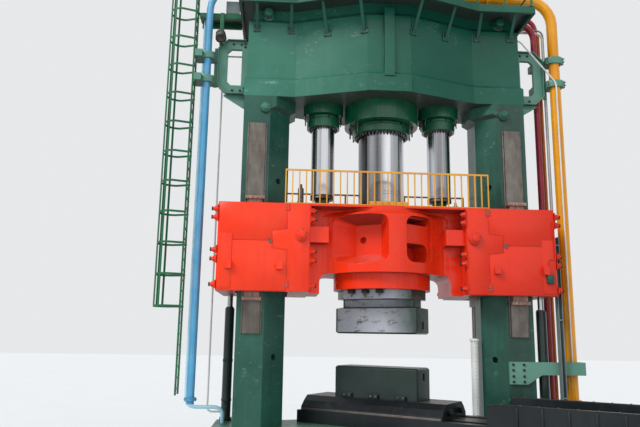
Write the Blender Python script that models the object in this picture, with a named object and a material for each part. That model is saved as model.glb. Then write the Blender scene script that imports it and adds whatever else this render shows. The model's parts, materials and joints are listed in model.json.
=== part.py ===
"""Two-post open-die forging press with three rams, a sliding table and a cast pre-stressed frame.

Metres, +Z up. X runs from post to post, -Y is the front, and the origin is the centre of the
lower beam's bottom face. Every height is a sum of the named sizes, from the base upwards.
"""
from math import atan2, cos, hypot, pi, radians, sin, sqrt

import bmesh
import bpy
from mathutils import Matrix, Vector

for scene_object in list(bpy.data.objects):
    bpy.data.objects.remove(scene_object)

# Fits shared by all pieces
SEAT_GAP = 0.0003
CUT_OVERRUN = 0.05
RUNNING_CLEARANCE = 0.06

# Lower and upper beam: half sizes of the six-sided plan
BEAM_HALF_LENGTH = 4.30
BEAM_FLAT_END_X = 2.75
BEAM_END_HALF_DEPTH = 0.95
BEAM_MID_HALF_DEPTH = 1.70
BEAM_MID_HALF_WIDTH = 0.65
BEAM_BAND_HEIGHT = 0.53
BEAM_WEB_INSET = 0.08
BEAM_TOP_INSET = 0.20
LOWER_BEAM_HALF_LENGTH = 4.85
LOWER_BEAM_HEIGHT = 2.55
UPPER_WEB_HEIGHT = 1.90
UPPER_SHOULDER_HEIGHT = 0.14
UPPER_TOP_HEIGHT = 0.51
PEDESTAL_HEIGHT = 0.43
PEDESTAL_PROUD = 0.03
RIB_HALF_WIDTH = 0.15
RIB_PROUD = 0.12
BOSS_DISC_RADIUS = 0.17
BOSS_DISC_PROUD = 0.07
BEAM_DISC_X = 3.62
BEAM_DISC_BELOW_TOP = 0.38

# Posts: half sizes of the section, with its inner corners cut off
POST_LENGTH = 9.57
POST_INNER_X = 2.90
POST_OUTER_X = 4.27
POST_HALF_DEPTH = 0.95
POST_CHAMFER_X = 3.48
POST_INNER_HALF_DEPTH = 0.40
POST_HEAD_HEIGHT = 0.31
POST_HEAD_STEP = 0.10
POST_HEAD_PROUD = 0.18
HEAD_DISC_BELOW_TOP = 0.37
SIGHT_HOLE_RADIUS = 0.09
SIGHT_HOLE_DEPTH = 0.22
SIGHT_HOLE_HEIGHTS = (1.90, 7.00)

# Tie rods, which run through the posts and both beams
TIE_ROD_X = 3.72
TIE_ROD_Y = 0.40
TIE_ROD_RADIUS = 0.16
TIE_ROD_HOLE_CLEARANCE = 0.02
TIE_ROD_HEAD_RADIUS = 0.26
TIE_ROD_HEAD_HEIGHT = 0.30
TIE_ROD_HEAD_RECESS = 0.05
TIE_ROD_END_PROUD = 0.06
TIE_NUT_RADIUS = 0.26
TIE_NUT_HEIGHT = 0.33

# Guide strips on the posts, and the crosshead's shoes that run on them
STRIP_X = 3.84
STRIP_WIDTH = 0.48
STRIP_THICKNESS = 0.06
STRIP_BOTTOM_ABOVE_POST_FOOT = 2.55
STRIP_LENGTH = 6.15
SHOE_WIDTH = 0.42
SHOE_PROUD = 0.24
SHOE_PLATE_WIDTH = 0.54
SHOE_PLATE_HEIGHT = 0.09
SHOE_PLATE_DEPTH = 0.22

# Cylinders and rams
MAIN_RAM_RADIUS = 0.707
MAIN_BARREL_RADIUS = 0.97
MAIN_FLANGE_RADIUS = 1.15
MAIN_FLANGE_HEIGHT = 0.60
MAIN_GLAND_RADIUS = 0.90
MAIN_GLAND_HEIGHT = 0.30
MAIN_HEAD_RADIUS = 1.10
MAIN_HEAD_HEIGHT = 1.20
SIDE_RAM_X = 1.83
SIDE_RAM_RADIUS = 0.36
SIDE_BARREL_RADIUS = 0.47
SIDE_FLANGE_RADIUS = 0.63
SIDE_FLANGE_HEIGHT = 0.32
SIDE_GLAND_RADIUS = 0.515
SIDE_GLAND_HEIGHT = 0.38
SIDE_HEAD_RADIUS = 0.55
SIDE_HEAD_HEIGHT = 0.34
GLAND_GROOVE_DEPTH = 0.06
BORE_CLEARANCE = 0.01
STROKE_UP = 1.80
RAM_END_CLEARANCE = 0.10
BARREL_END_WALL = 0.25
RAM_RING_RADIUS = 0.86
RAM_RING_HEIGHT = 0.14
RAM_STEM_RADIUS = 0.22
RAM_STEM_HEIGHT = 0.46
STEM_FOOT_RADIUS = 0.30
STEM_FOOT_HEIGHT = 0.08
RAM_NOSE_CHAMFER = 0.04

# Moving table and its bed, which lie at an angle to the posts
TABLE_ANGLE = radians(-35.0)
BED_HALF_WIDTH = 0.97
BED_REAR_LENGTH = 2.32
BED_POST_CLEARANCE = 0.05
BED_HEIGHT = 0.35
BED_RAIL_HALF_WIDTH = 0.16
BED_RAIL_FROM_MIDDLE = 0.55
BED_RAIL_HEIGHT = 0.06
TABLE_HALF_LENGTH = 2.20
TABLE_HALF_WIDTH = 0.93
TABLE_SHOULDER_HALF_WIDTH = 0.78
TABLE_TOP_HALF_WIDTH = 0.60
TABLE_FOOT_HEIGHT = 0.10
TABLE_APRON_HEIGHT = 0.14
TABLE_HEIGHT = 0.41
SLIDEWAY_LENGTH = 4.60
SLIDEWAY_HALF_WIDTH = 1.24
SLIDEWAY_WALL = 0.20
SLIDEWAY_HEIGHT = 0.90

# Dies
DIE_HALF_LENGTH = 1.32
DIE_HALF_WIDTH = 0.50
DIE_EDGE_RADIUS = 0.09
DIE_EDGE_STEPS = 4
LOWER_DIE_HEIGHT = 0.89
DIE_GAP = 0.94
UPPER_DIE_HEIGHT = 0.78
DIE_NECK_HEIGHT = 0.21
DIE_NECK_SETBACK = 0.16
HOLDER_HALF_LENGTH = 1.20
HOLDER_HALF_WIDTH = 0.95
HOLDER_CORNER = 0.42
HOLDER_HEIGHT = 0.26
DIE_SLOT_HALF_WIDTH = 0.07
DIE_SLOT_HEIGHT = 0.22
DIE_SLOT_DEPTH = 0.08
DIE_SLOT_ABOVE_FACE = 0.14

# Crosshead: a drum with wings, between two housings that ride on the posts
DRUM_RADIUS = 1.70
DRUM_HEIGHT = 1.92
DRUM_TOP_RADIUS = 1.49
DRUM_SHOULDER_RADIUS = 1.64
DRUM_SHOULDER_HEIGHT = 0.27
DRUM_NECK_HEIGHT = 0.13
TOP_PLATE_THICKNESS = 0.06
BOSS_RADIUS = 1.45
BOSS_HEIGHT = 0.44
WING_END_X = 2.24
WING_HALF_DEPTH = 0.80
WING_FILLET_RADIUS = 0.70
WING_LEG_X = 1.93
KNEE_RADIUS = 0.25
HOUSING_OUTER_X = 4.84
HOUSING_HALF_DEPTH = 1.42
HOUSING_HEIGHT = 2.50
HOUSING_INNER_CLEARANCE = 0.06
HOUSING_FACE_CHAMFER = 0.03
SHOE_THICKNESS = 0.14
LUG_START_X = 1.70
LUG_HALF_DEPTH = 1.22
LUG_HEIGHT = 0.46
LUG_BELOW_TOP = 0.62
KEY_DISC_X = 2.47
KEY_DISC_RADIUS = 0.19
KEY_DISC_PROUD = 0.09
KEY_DISC_BELOW_TOP = 0.90
EYE_XS = (3.08, 4.50)
EYE_BELOW_TOP = 1.77
EYE_RADIUS = 0.09
EYE_HEIGHT = 0.26
EYE_PROUD = 0.13
POCKET_AZIMUTH = radians(-31.0)
POCKET_WIDTH = 2.02
POCKET_HEIGHT = 1.42
POCKET_FLOOR_WIDTH = 0.80
POCKET_FLOOR_HEIGHT = 0.89
POCKET_FLOOR_RADIUS = 0.96
POCKET_FLOOR_RISE = 0.05
POCKET_CORNER = 0.28
POCKET_FLOOR_CORNER = 0.06
POCKET_BELOW_TOP = 0.26
POCKET_HOLE_ASIDE = 0.18
POCKET_HOLE_RADIUS = 0.10
POCKET_HOLE_DEPTH = 0.20
WINDOW_AZIMUTH = radians(33.0)
WINDOW_WIDTH = 1.00
WINDOW_HEIGHT = 1.32
WINDOW_CORNER = 0.23
WINDOW_SILL_RADIUS = 1.46
WINDOW_FLOOR_RADIUS = 0.86
WINDOW_BELOW_TOP = 0.30
WINDOW_BAR_BELOW_TOP = 0.51
WINDOW_BAR_HEIGHT = 0.55
WINDOW_LEDGE = 0.03
CORNER_STEPS = 4
CORNER_FILL_SHARE = 0.9

# Return cylinders, one at each of two opposite corners
RETURN_X = 4.575
RETURN_Y = 0.76
RETURN_CYLINDER_RADIUS = 0.145
RETURN_CYLINDER_HEIGHT = 3.30
RETURN_RAM_RADIUS = 0.085
RETURN_RAM_LENGTH = 3.00
RETURN_FLANGE_RADIUS = 0.185
RETURN_FLANGE_HEIGHT = 0.08
RETURN_BOTTOM_WALL = 0.12
RETURN_POCKET_RADIUS = 0.175
RETURN_POCKET_DEPTH = 0.60

# Guardrails on the crosshead
RAIL_HALF_LENGTH = 2.98
RAIL_Y = 1.28
RAIL_HEIGHT = 1.04
RAIL_BAR = 0.05
BALUSTER_WIDTH = 0.035
BALUSTER_COUNT = 31
REAR_POST_COUNT = 7
REAR_RAIL_HEIGHT = 0.90

# Stroke gauge: a rod on the crosshead in a tube beside the right post
GAUGE_X = 2.66
GAUGE_Y = 0.47
GAUGE_TUBE_RADIUS = 0.11
GAUGE_TUBE_HEIGHT = 2.50
GAUGE_ROD_RADIUS = 0.05
GAUGE_ROD_LENGTH = 3.14
GAUGE_BLOCK_HALF = 0.09
GAUGE_BLOCK_HEIGHT = 0.30
GAUGE_WELL_DEPTH = 0.34

# Walkway round the upper beam
DECK_BELOW_BEAM_TOP = 0.16
DECK_PLATE = 0.04
DECK_SKIRT_HEIGHT = 0.24
DECK_SKIRT_THICKNESS = 0.08
DECK_OVERHANG = 0.80
DECK_END_OVERHANG = 0.20
STRUT_WIDTH = 0.09
STRUT_FOOT_HALF = 0.11
STRUT_FOOT_THICKNESS = 0.03
STRUT_XS = (0.74, 1.82, 2.92, 3.97)
STRUT_FEET_BELOW_DECK = (0.97, 0.93, 0.74, 0.71)
DECK_RAIL_HEIGHT = 1.05
DECK_RAIL_BAR = 0.05
DECK_RAIL_INSET = 0.06
DECK_POST_PITCH = 1.00

# Pipes, their brackets and the ladder
PIPE_RING_OUTER_X = 5.14
PIPE_RING_CUT = 0.28
PIPE_RING_BOTTOM_BELOW_BAND = 0.28
PIPE_RING_TOP_ABOVE_BAND = 1.45
PIPE_RING_FRONT_Y = 0.40
PIPE_RING_THICKNESS = 0.12
PIPE_RING_RIM = 0.27
LEFT_CLAMP_HEIGHTS = (-0.33, 0.44)
RIGHT_CLAMP_HEIGHTS = (-0.08, 0.70)
CLAMP_HEIGHT = 0.22
CLAMP_RIM = 0.07
FRONT_PIPE_X = 5.46
FRONT_PIPE_Y = 0.62
YELLOW_PIPE_RADIUS = 0.165
BLUE_PIPE_RADIUS = 0.11
RED_PIPE_X = 5.10
RED_PIPE_Y = 0.0
RED_PIPE_RADIUS = 0.10
PIPE_FOOT_ABOVE_BEAM = 0.60
PIPE_RUN_SHARE = 0.75
LOW_RUN_ABOVE_BEAM = 0.17
PIPE_BEND_RADIUS = 0.80
LOW_BEND_RADIUS = 0.60
PIPE_BEND_STEPS = 6
PIPE_BEVEL_STEPS = 4
PIPE_PORT_DEPTH = 0.10
PIPE_PORT_CLEARANCE = 0.004
LOW_BRACKET_THICKNESS = 0.08
LOW_BRACKET_BOTTOM = 1.25
LOW_BRACKET_HEIGHT = 0.62
LOW_BRACKET_ARM_HEIGHT = 0.36
LOW_BRACKET_INNER_X = 3.48
LOW_BRACKET_BEND_X = 4.00
LOW_BRACKET_SLOPE_X = 4.42
CHANNEL_INNER_X = 4.90
CHANNEL_WIDTH = 0.13
CHANNEL_DEPTH = 0.20
CHANNEL_WALL = 0.02
CHANNEL_BOTTOM = 0.65
CHANNEL_LENGTH = 4.80
LADDER_X = 5.85
LADDER_Y = 0.62
LADDER_HALF_WIDTH = 0.25
LADDER_BAR = 0.05
LADDER_RUNG = 0.03
LADDER_PITCH = 0.30
LADDER_BOTTOM = 0.85
CAGE_RADIUS = 0.38
CAGE_BAR = 0.02
CAGE_STRIP = 0.06
CAGE_PITCH = 0.90
CAGE_START = 2.40
CAGE_BAR_COUNT = 5
GATE_ARM_HALF = 0.06

# Heights that follow from the sizes above
POST_FOOT_Z = LOWER_BEAM_HEIGHT + SEAT_GAP
POST_TOP_Z = POST_FOOT_Z + POST_LENGTH
BEAM_BOTTOM_Z = POST_TOP_Z + SEAT_GAP
BAND_TOP_Z = BEAM_BOTTOM_Z + BEAM_BAND_HEIGHT
WEB_TOP_Z = BAND_TOP_Z + UPPER_WEB_HEIGHT
BEAM_TOP_Z = WEB_TOP_Z + UPPER_SHOULDER_HEIGHT + UPPER_TOP_HEIGHT
SLIDEWAY_CORNER_X = (SLIDEWAY_HALF_WIDTH + POST_HALF_DEPTH * cos(TABLE_ANGLE)) / -sin(TABLE_ANGLE)
BED_FRONT_LENGTH = (SLIDEWAY_CORNER_X * cos(TABLE_ANGLE) - POST_HALF_DEPTH * sin(TABLE_ANGLE)
                    + BED_POST_CLEARANCE)
BED_TOP_Z = LOWER_BEAM_HEIGHT + SEAT_GAP + BED_HEIGHT
TABLE_BOTTOM_Z = BED_TOP_Z + SEAT_GAP
TABLE_TOP_Z = TABLE_BOTTOM_Z + TABLE_HEIGHT
LOWER_DIE_TOP_Z = TABLE_TOP_Z + SEAT_GAP + LOWER_DIE_HEIGHT
UPPER_DIE_FACE_Z = LOWER_DIE_TOP_Z + DIE_GAP
UPPER_DIE_TOP_Z = UPPER_DIE_FACE_Z + UPPER_DIE_HEIGHT + DIE_NECK_HEIGHT
HOLDER_TOP_Z = UPPER_DIE_TOP_Z + SEAT_GAP + HOLDER_HEIGHT
BOSS_BOTTOM_Z = HOLDER_TOP_Z + SEAT_GAP
DRUM_BOTTOM_Z = BOSS_BOTTOM_Z + BOSS_HEIGHT
CROSSHEAD_TOP_Z = DRUM_BOTTOM_Z + DRUM_HEIGHT
HOUSING_BOTTOM_Z = CROSSHEAD_TOP_Z - HOUSING_HEIGHT
DECK_TOP_Z = BEAM_TOP_Z - DECK_BELOW_BEAM_TOP
DECK_BOTTOM_Z = DECK_TOP_Z - DECK_SKIRT_HEIGHT
STRIP_FACE_Y = POST_HALF_DEPTH + SEAT_GAP + STRIP_THICKNESS
SHOE_BACK_Y = STRIP_FACE_Y + SEAT_GAP + SHOE_THICKNESS
HOUSING_HOLE_Y = SHOE_BACK_Y + SEAT_GAP
RAM_TOP_Z = BEAM_TOP_Z - BARREL_END_WALL - STROKE_UP - RAM_END_CLEARANCE

ROUND_SEGMENTS = 48
MEDIUM_SEGMENTS = 32
SMALL_SEGMENTS = 16
SMOOTH_ANGLE = radians(35.0)


def paint(name, colour, metallic=0.0, roughness=0.5):
    """A plain finish for one kind of surface."""
    material = bpy.data.materials.new(name)
    material.use_nodes = True
    shader = material.node_tree.nodes["Principled BSDF"]
    shader.inputs["Base Color"].default_value = (*colour, 1.0)
    shader.inputs["Metallic"].default_value = metallic
    shader.inputs["Roughness"].default_value = roughness
    material.diffuse_color = (*colour, 1.0)
    return material


FRAME_GREEN = paint("frame_green", (0.035, 0.155, 0.095), 0.0, 0.45)
CYLINDER_GREEN = paint("cylinder_green", (0.02, 0.15, 0.08), 0.0, 0.4)
CROSSHEAD_RED = paint("crosshead_red", (0.85, 0.07, 0.02), 0.0, 0.42)
GUARD_YELLOW = paint("guard_yellow", (0.80, 0.50, 0.04), 0.0, 0.45)
RAM_STEEL = paint("ram_steel", (0.62, 0.62, 0.63), 1.0, 0.22)
GUIDE_STEEL = paint("guide_steel", (0.16, 0.15, 0.14), 0.8, 0.5)
SHOE_STEEL = paint("shoe_steel", (0.42, 0.34, 0.31), 0.6, 0.5)
ROD_STEEL = paint("rod_steel", (0.30, 0.30, 0.31), 0.9, 0.4)
DIE_STEEL = paint("die_steel", (0.05, 0.085, 0.07), 0.5, 0.5)
TABLE_STEEL = paint("table_steel", (0.05, 0.055, 0.05), 0.4, 0.6)
PIPE_BLUE = paint("pipe_blue", (0.10, 0.38, 0.58), 0.0, 0.4)
PIPE_YELLOW = paint("pipe_yellow", (0.85, 0.52, 0.02), 0.0, 0.4)
PIPE_RED = paint("pipe_red", (0.45, 0.04, 0.04), 0.0, 0.45)
BRACKET_GREEN = paint("bracket_green", (0.09, 0.30, 0.20), 0.0, 0.45)
LADDER_GREEN = paint("ladder_green", (0.05, 0.26, 0.11), 0.0, 0.5)
GAUGE_WHITE = paint("gauge_white", (0.75, 0.76, 0.74), 0.0, 0.5)
CHANNEL_GREY = paint("channel_grey", (0.20, 0.25, 0.25), 0.3, 0.5)


def add_object(name, mesh, material, rounded=False):
    """Put a mesh in the scene under a piece's name, with its finish."""
    if rounded:
        mesh.shade_smooth()
        mesh.set_sharp_from_angle(angle=SMOOTH_ANGLE)
    new_object = bpy.data.objects.new(name, mesh)
    if material is not None:
        mesh.materials.append(material)
    bpy.context.scene.collection.objects.link(new_object)
    return new_object


def mesh_of(name, shape):
    """Turn an edited shape into a mesh with its faces pointing out."""
    bmesh.ops.recalc_face_normals(shape, faces=shape.faces)
    mesh = bpy.data.meshes.new(name)
    shape.to_mesh(mesh)
    shape.free()
    return mesh


def loft(name, rings):
    """A closed body through rings of points, with both end rings filled."""
    shape = bmesh.new()
    corners = [[shape.verts.new(point) for point in ring] for ring in rings]
    for lower, upper in zip(corners, corners[1:]):
        for index, corner in enumerate(lower):
            following = (index + 1) % len(lower)
            shape.faces.new((corner, lower[following], upper[following], upper[index]))
    shape.faces.new(list(reversed(corners[0])))
    shape.faces.new(corners[-1])
    return mesh_of(name, shape)


def prism(name, outline, bottom, top):
    """An outline in X and Y, raised from one height to another."""
    return loft(name, [[(x, y, z) for x, y in outline] for z in (bottom, top)])


def slab_y(name, outline, front, back):
    """An outline in X and Z, carried along Y."""
    return loft(name, [[(x, y, z) for x, z in outline] for y in (front, back)])


def box(name, low, high):
    """A box between two opposite corners."""
    outline = [(low[0], low[1]), (high[0], low[1]), (high[0], high[1]), (low[0], high[1])]
    return prism(name, outline, low[2], high[2])


def turned(name, profile, segments, centre=(0, 0)):
    """A profile of (radius, height) points turned about an upright axis.

    A profile whose first and last point are on the axis is solid; any other closes on itself
    as a ring.
    """
    shape = bmesh.new()
    solid = profile[0][0] == 0
    rows = []
    for radius, height in profile:
        if radius == 0:
            rows.append([shape.verts.new((centre[0], centre[1], height))])
            continue
        angles = [2 * pi * step / segments for step in range(segments)]
        rows.append([shape.verts.new((centre[0] + radius * cos(a), centre[1] + radius * sin(a), height))
                     for a in angles])
    pairs = list(zip(rows, rows[1:]))
    if not solid:
        pairs.append((rows[-1], rows[0]))
    for lower, upper in pairs:
        if len(lower) == 1 or len(upper) == 1:
            ring = upper if len(lower) == 1 else lower
            shape.faces.new(ring)
            continue
        for step in range(segments):
            following = (step + 1) % segments
            shape.faces.new((lower[step], lower[following], upper[following], upper[step]))
    lone_points = [point for point in shape.verts if not point.link_faces]
    bmesh.ops.delete(shape, geom=lone_points, context="VERTS")
    return mesh_of(name, shape)


def rounded_rectangle(width, height, corner, steps=CORNER_STEPS):
    """The outline of a rectangle about the middle, with round corners."""
    points = []
    for turn, (side, rise) in enumerate(((1, 1), (-1, 1), (-1, -1), (1, -1))):
        centre = (side * (width / 2 - corner), rise * (height / 2 - corner))
        for step in range(steps + 1):
            angle = pi / 2 * (turn + step / steps)
            points.append((centre[0] + corner * cos(angle), centre[1] + corner * sin(angle)))
    return points


def move(mesh, matrix):
    """Move a mesh's points, and keep its faces pointing out."""
    mesh.transform(matrix)
    if matrix.determinant() < 0:
        mesh.flip_normals()
    return mesh


def shape_with(target, mesh, operation):
    """Cut a mesh out of an object, or weld it on."""
    tool = add_object(target.name + "_tool", mesh, None)
    tool.hide_render = True
    tool.display_type = "WIRE"
    step = target.modifiers.new(operation.lower(), "BOOLEAN")
    step.operation = operation
    step.solver = "EXACT"
    step.object = tool


def cut(target, mesh):
    shape_with(target, mesh, "DIFFERENCE")


def weld(target, mesh):
    shape_with(target, mesh, "UNION")


def lattice(name, path, heights, filled, thickness, closed=False):
    """An upright sheet of bars that follows a path; filled says which cells hold metal."""
    shape = bmesh.new()
    columns = [[shape.verts.new((x, y, z)) for z in heights] for x, y in path]
    spans = len(path) if closed else len(path) - 1
    for column in range(spans):
        here = columns[column]
        there = columns[(column + 1) % len(columns)]
        for row in range(len(heights) - 1):
            if filled(column, row):
                shape.faces.new((here[row], there[row], there[row + 1], here[row + 1]))
    lone_points = [point for point in shape.verts if not point.link_faces]
    bmesh.ops.delete(shape, geom=lone_points, context="VERTS")
    mesh = bpy.data.meshes.new(name)
    shape.to_mesh(mesh)
    shape.free()
    return mesh, thickness


def add_lattice(name, made, material):
    """Put a lattice in the scene and give its bars their thickness."""
    mesh, thickness = made
    sheet = add_object(name, mesh, material)
    wall = sheet.modifiers.new("wall", "SOLIDIFY")
    wall.thickness = thickness
    wall.offset = 0.0
    wall.use_even_offset = True
    return sheet


def beam_plan(inset, half_length=BEAM_HALF_LENGTH, outset=0.0):
    """The beam's six-sided plan, moved in from its widest by an inset, or out by an outset."""
    half_length = half_length - inset
    end = BEAM_END_HALF_DEPTH - inset + outset
    middle = BEAM_MID_HALF_DEPTH - inset + outset
    right = [(half_length, -end), (BEAM_FLAT_END_X, -end), (BEAM_MID_HALF_WIDTH, -middle)]
    front = right + [(-x, y) for x, y in reversed(right)]
    return [(x, y) for x, y in front] + [(x, -y) for x, y in reversed(front)]


def plan_depth(x, inset):
    """How far the beam's front face stands from the middle at a place along its length."""
    reach = min(max(abs(x), BEAM_MID_HALF_WIDTH), BEAM_FLAT_END_X)
    along = (BEAM_FLAT_END_X - reach) / (BEAM_FLAT_END_X - BEAM_MID_HALF_WIDTH)
    return BEAM_END_HALF_DEPTH + along * (BEAM_MID_HALF_DEPTH - BEAM_END_HALF_DEPTH) - inset


def level(outline, height):
    return [(x, y, height) for x, y in outline]


def round_bar(radius, start, end, segments):
    """A round bar between two points."""
    start, end = Vector(start), Vector(end)
    mesh = turned("bar", [(0, 0), (radius, 0), (radius, (end - start).length),
                          (0, (end - start).length)], segments)
    turn = (end - start).to_track_quat("Z", "Y").to_matrix().to_4x4()
    return move(mesh, Matrix.Translation(start) @ turn)


def table_point(along, across):
    """A place given along and across the table, in X and Y."""
    return (along * cos(TABLE_ANGLE) - across * sin(TABLE_ANGLE),
            along * sin(TABLE_ANGLE) + across * cos(TABLE_ANGLE))


TABLE_TURN = Matrix.Rotation(TABLE_ANGLE, 4, "Z")
TIE_ROD_PLACES = {"left_front": (-TIE_ROD_X, -TIE_ROD_Y), "left_rear": (-TIE_ROD_X, TIE_ROD_Y),
                  "right_front": (TIE_ROD_X, -TIE_ROD_Y), "right_rear": (TIE_ROD_X, TIE_ROD_Y)}
RETURN_PLACES = {"right_front": (RETURN_X, -RETURN_Y), "left_rear": (-RETURN_X, RETURN_Y)}
STRIP_PLACES = {"left_front": (-1, -1), "left_rear": (-1, 1),
                "right_front": (1, -1), "right_rear": (1, 1)}


def tie_rod_holes(target, bottom, top):
    """The four long holes that a beam leaves for its tie rods."""
    radius = TIE_ROD_RADIUS + TIE_ROD_HOLE_CLEARANCE
    for place in TIE_ROD_PLACES.values():
        profile = [(0, bottom - CUT_OVERRUN), (radius, bottom - CUT_OVERRUN),
                   (radius, top + CUT_OVERRUN), (0, top + CUT_OVERRUN)]
        cut(target, turned("rod_hole", profile, SMALL_SEGMENTS, place))


def add_lower_beam():
    """The cast lower beam, with recesses for the tie rods' heads and a well for the gauge."""
    band = BEAM_BAND_HEIGHT
    wide = beam_plan(0.0, LOWER_BEAM_HALF_LENGTH)
    narrow = beam_plan(BEAM_WEB_INSET, LOWER_BEAM_HALF_LENGTH)
    rings = [level(wide, 0.0), level(wide, band), level(narrow, band + BEAM_WEB_INSET),
             level(narrow, LOWER_BEAM_HEIGHT - band - BEAM_WEB_INSET),
             level(wide, LOWER_BEAM_HEIGHT - band), level(wide, LOWER_BEAM_HEIGHT)]
    beam = add_object("lower_beam", loft("lower_beam", rings), FRAME_GREEN)
    tie_rod_holes(beam, 0.0, LOWER_BEAM_HEIGHT)
    head_room = TIE_ROD_HEAD_RADIUS + TIE_ROD_HOLE_CLEARANCE
    ceiling = TIE_ROD_HEAD_RECESS + TIE_ROD_HEAD_HEIGHT + SEAT_GAP
    for place in TIE_ROD_PLACES.values():
        profile = [(0, -CUT_OVERRUN), (head_room, -CUT_OVERRUN), (head_room, ceiling), (0, ceiling)]
        cut(beam, turned("head_recess", profile, SMALL_SEGMENTS, place))
    well = GAUGE_ROD_RADIUS + TIE_ROD_HOLE_CLEARANCE
    floor = LOWER_BEAM_HEIGHT - GAUGE_WELL_DEPTH
    profile = [(0, floor), (well, floor), (well, LOWER_BEAM_HEIGHT + CUT_OVERRUN),
               (0, LOWER_BEAM_HEIGHT + CUT_OVERRUN)]
    cut(beam, turned("gauge_well", profile, SMALL_SEGMENTS, (GAUGE_X, -GAUGE_Y)))


def post_plan(proud):
    """A post's section on the right side; proud moves the inner corner pieces towards the middle."""
    slope = (POST_HALF_DEPTH - POST_INNER_HALF_DEPTH) / (POST_CHAMFER_X - POST_INNER_X)
    inner_x = POST_INNER_X - proud
    chamfer_x = POST_CHAMFER_X - proud
    half = POST_HALF_DEPTH - slope * (chamfer_x - inner_x)
    return [(POST_OUTER_X, -POST_HALF_DEPTH), (POST_OUTER_X, POST_HALF_DEPTH),
            (chamfer_x, POST_HALF_DEPTH), (inner_x, half), (inner_x, -half),
            (chamfer_x, -POST_HALF_DEPTH)]


def boss_disc(x, face_y, z, front):
    """A round cover that stands on an upright face; front is -1 or 1."""
    start = (x, front * (face_y - CUT_OVERRUN), z)
    end = (x, front * (face_y + BOSS_DISC_PROUD), z)
    return round_bar(BOSS_DISC_RADIUS, start, end, SMALL_SEGMENTS)


def add_post(name, side):
    """A cast post: chamfered shaft, wider head, tie rod holes, covers and sight holes."""
    head_z = POST_TOP_Z - POST_HEAD_HEIGHT
    rings = [level(post_plan(0.0), POST_FOOT_Z), level(post_plan(0.0), head_z - POST_HEAD_STEP),
             level(post_plan(POST_HEAD_PROUD), head_z), level(post_plan(POST_HEAD_PROUD), POST_TOP_Z)]
    mesh = loft(name, rings)
    move(mesh, Matrix.Scale(side, 4, (1, 0, 0)))
    post = add_object(name, mesh, FRAME_GREEN)
    for place in TIE_ROD_PLACES.values():
        if place[0] * side > 0:
            radius = TIE_ROD_RADIUS + TIE_ROD_HOLE_CLEARANCE
            bottom, top = POST_FOOT_Z - CUT_OVERRUN, POST_TOP_Z + CUT_OVERRUN
            profile = [(0, bottom), (radius, bottom), (radius, top), (0, top)]
            cut(post, turned("rod_hole", profile, SMALL_SEGMENTS, place))
    facing = atan2(POST_CHAMFER_X - POST_INNER_X, POST_HALF_DEPTH - POST_INNER_HALF_DEPTH)
    hole_x = (POST_INNER_X + POST_CHAMFER_X) / 2
    hole_y = (POST_HALF_DEPTH + POST_INNER_HALF_DEPTH) / 2
    for front in (-1, 1):
        weld(post, boss_disc(side * BEAM_DISC_X, POST_HALF_DEPTH, POST_TOP_Z - HEAD_DISC_BELOW_TOP, front))
        outward = Vector((-side * cos(facing), front * sin(facing), 0))
        for height in SIGHT_HOLE_HEIGHTS:
            middle = Vector((side * hole_x, front * hole_y, POST_FOOT_Z + height))
            cut(post, round_bar(SIGHT_HOLE_RADIUS, middle - outward * SIGHT_HOLE_DEPTH,
                                middle + outward * CUT_OVERRUN, SMALL_SEGMENTS))


def add_upper_beam():
    """The cast upper beam: band, web, shoulder, recessed top, middle rib and cylinder bores."""
    shoulder_z = WEB_TOP_Z + UPPER_SHOULDER_HEIGHT
    rings = [level(beam_plan(0.0), BEAM_BOTTOM_Z), level(beam_plan(0.0), BAND_TOP_Z),
             level(beam_plan(BEAM_WEB_INSET), BAND_TOP_Z + BEAM_WEB_INSET),
             level(beam_plan(BEAM_WEB_INSET), WEB_TOP_Z), level(beam_plan(BEAM_TOP_INSET), shoulder_z),
             level(beam_plan(BEAM_TOP_INSET), BEAM_TOP_Z)]
    beam = add_object("upper_beam", loft("upper_beam", rings), FRAME_GREEN)
    face = BEAM_MID_HALF_DEPTH
    rib_top = DECK_BOTTOM_Z - RUNNING_CLEARANCE
    for front in (-1, 1):
        ys = sorted((front * (face - BEAM_TOP_INSET - CUT_OVERRUN), front * (face - BEAM_WEB_INSET + RIB_PROUD)))
        weld(beam, box("rib", (-RIB_HALF_WIDTH, ys[0], BAND_TOP_Z - CUT_OVERRUN),
                       (RIB_HALF_WIDTH, ys[1], rib_top)))
        ys = sorted((front * (face - BEAM_WEB_INSET - CUT_OVERRUN), front * (face + PEDESTAL_PROUD)))
        weld(beam, box("pedestal", (-BEAM_MID_HALF_WIDTH, ys[0], BEAM_BOTTOM_Z),
                       (BEAM_MID_HALF_WIDTH, ys[1], BEAM_BOTTOM_Z + PEDESTAL_HEIGHT)))
        for side in (-1, 1):
            weld(beam, boss_disc(side * BEAM_DISC_X, BEAM_END_HALF_DEPTH - BEAM_TOP_INSET,
                                 BEAM_TOP_Z - BEAM_DISC_BELOW_TOP, front))
    tie_rod_holes(beam, BEAM_BOTTOM_Z, BEAM_TOP_Z)
    bores = ((0.0, MAIN_BARREL_RADIUS, ROUND_SEGMENTS), (-SIDE_RAM_X, SIDE_BARREL_RADIUS, MEDIUM_SEGMENTS),
             (SIDE_RAM_X, SIDE_BARREL_RADIUS, MEDIUM_SEGMENTS))
    for x, radius, segments in bores:
        wall = radius + SEAT_GAP
        bottom, top = BEAM_BOTTOM_Z - CUT_OVERRUN, BEAM_TOP_Z + CUT_OVERRUN
        profile = [(0, bottom), (wall, bottom), (wall, top), (0, top)]
        cut(beam, turned("bore", profile, segments, (x, 0)))


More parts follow.
